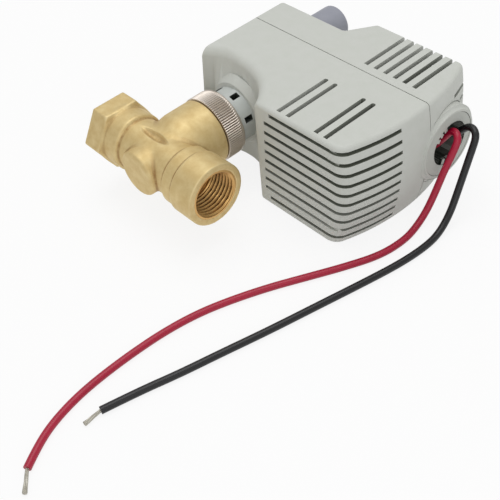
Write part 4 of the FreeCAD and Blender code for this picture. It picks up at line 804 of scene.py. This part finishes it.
def addTip(name, start, end, node, s=leadSet):
    # strands laid round each other: the radius swells towards the end, ripples once for
    # each strand, the ripple turning with the length, and closes to a point
    start = np.array(start, float)
    way = np.array(end, float) - start
    side = np.cross(way, (0, 0, 1))
    side = side / np.linalg.norm(side)
    up = np.cross(side, way / np.linalg.norm(way))
    share = np.linspace(s["tipStart"], 1, s["tipRows"])[:, None]
    turn = np.linspace(0, 2 * math.pi, s["tipColumns"], endpoint=False)[None, :]
    closing = np.sqrt(1 - np.clip((share - s["tipClose"]) / s["tipCloseRun"], 0, 1) ** 2)
    ripple = 1 + s["ripple"] * np.cos(s["strands"] * turn - s["lay"] * 2 * math.pi * share)
    radius = (s["tipRadius"] + s["tipSwell"] * np.clip(share, 0, 1) ** 2) * closing * ripple
    middle = start + way * share
    points = (middle[:, None, :] + radius[..., None] * (np.cos(turn)[..., None] * side
                                                        + np.sin(turn)[..., None] * up))
    rows, columns = radius.shape
    count = rows * columns
    j = np.arange(columns)
    nextJ = (j + 1) % columns
    last = count - columns
    faces = wrapFaces(rows, columns, closeRows=False).tolist()
    faces += np.stack([nextJ, j, np.full(columns, count)], 1).tolist()
    faces += np.stack([last + j, last + nextJ, np.full(columns, count + 1)], 1).tolist()
    points = np.concatenate([points.reshape(-1, 3), middle[:1], middle[-1:]])
    return addPiece(name, points, faces, "tin", "root", [node], sharp=60)


redTip = addTip("redTinnedEnd", redRoute[-1], leadSet["redTip"], "red_tinned_end")
blackTip = addTip("blackTinnedEnd", blackRoute[-1], leadSet["blackTip"], "black_tinned_end")
addLead("redLead", redRoute, "red_insulation", "red_lead")
addLead("blackLead", blackRoute, "black_insulation", "black_lead")
print("leads done")


# Floor, light and surroundings, in metres.
stageSet = {
    "floorSize": 6, "floorPlace": (0, 0, -0.00002), "floorColour": (0.86, 0.86, 0.86, 1),
    "floorGlow": 0.85, "white": (1, 1, 1, 1), "world": 0.6, "aim": (0, 0, 0.02),
    "lamps": {"overhead": {"place": (-0.1, 0.1, 0.9), "size": 0.7, "power": 3.4},
              "side": {"place": (0.7, -0.5, 0.5), "size": 0.5, "power": 1.25}}}


def addFloor(s=stageSet):
    # a pale floor that shows a soft shadow and is near white for the camera and in gloss
    bpy.ops.mesh.primitive_plane_add(size=s["floorSize"], location=s["floorPlace"])
    floor = bpy.context.object
    floor.name = "floor"
    material = bpy.data.materials.new("paleFloor")
    material.use_nodes = True
    tree = material.node_tree
    tree.nodes.clear()
    plain = addNode(tree, "ShaderNodeBsdfDiffuse", {"Color": s["floorColour"]})
    bright = addNode(tree, "ShaderNodeEmission", {"Color": s["white"], "Strength": 1.0})
    ray = addNode(tree, "ShaderNodeLightPath")
    seen = addNode(tree, "ShaderNodeMath", {0: ray.outputs["Is Camera Ray"],
                                            1: ray.outputs["Is Glossy Ray"]}, operation="ADD")
    seen = addNode(tree, "ShaderNodeMath", {0: seen.outputs[0],
                                            1: ray.outputs["Is Transmission Ray"]},
                   operation="ADD", use_clamp=True)
    share = addNode(tree, "ShaderNodeMath", {0: seen.outputs[0], 1: s["floorGlow"]},
                    operation="MULTIPLY")
    mix = addNode(tree, "ShaderNodeMixShader", {0: share.outputs[0], 1: plain.outputs[0],
                                                2: bright.outputs[0]})
    out = addNode(tree, "ShaderNodeOutputMaterial")
    tree.links.new(mix.outputs[0], out.inputs["Surface"])
    floor.data.materials.append(material)


def addWorld(s=stageSet):
    # even light, and plain white where the camera sees past the floor
    world = bpy.data.worlds.new("studio")
    scene.world = world
    world.use_nodes = True
    tree = world.node_tree
    tree.nodes.clear()
    ray = addNode(tree, "ShaderNodeLightPath")
    power = addNode(tree, "ShaderNodeMapRange",
                    {"Value": ray.outputs["Is Camera Ray"], "To Min": s["world"],
                     "To Max": 1.0})
    light = addNode(tree, "ShaderNodeBackground",
                    {"Color": s["white"], "Strength": power.outputs[0]})
    out = addNode(tree, "ShaderNodeOutputWorld")
    tree.links.new(light.outputs[0], out.inputs["Surface"])


def addLamp(name, place, size, power):
    data = bpy.data.lights.new(name, "AREA")
    data.size = size
    data.energy = power
    lamp = bpy.data.objects.new(name, data)
    scene.collection.objects.link(lamp)
    lamp.location = place
    way = Vector(stageSet["aim"]) - Vector(place)
    lamp.rotation_euler = way.to_track_quat("-Z", "Y").to_euler()


addFloor()
addWorld()
for name, lampSet in stageSet["lamps"].items():
    addLamp(name, **lampSet)
print("stage done")
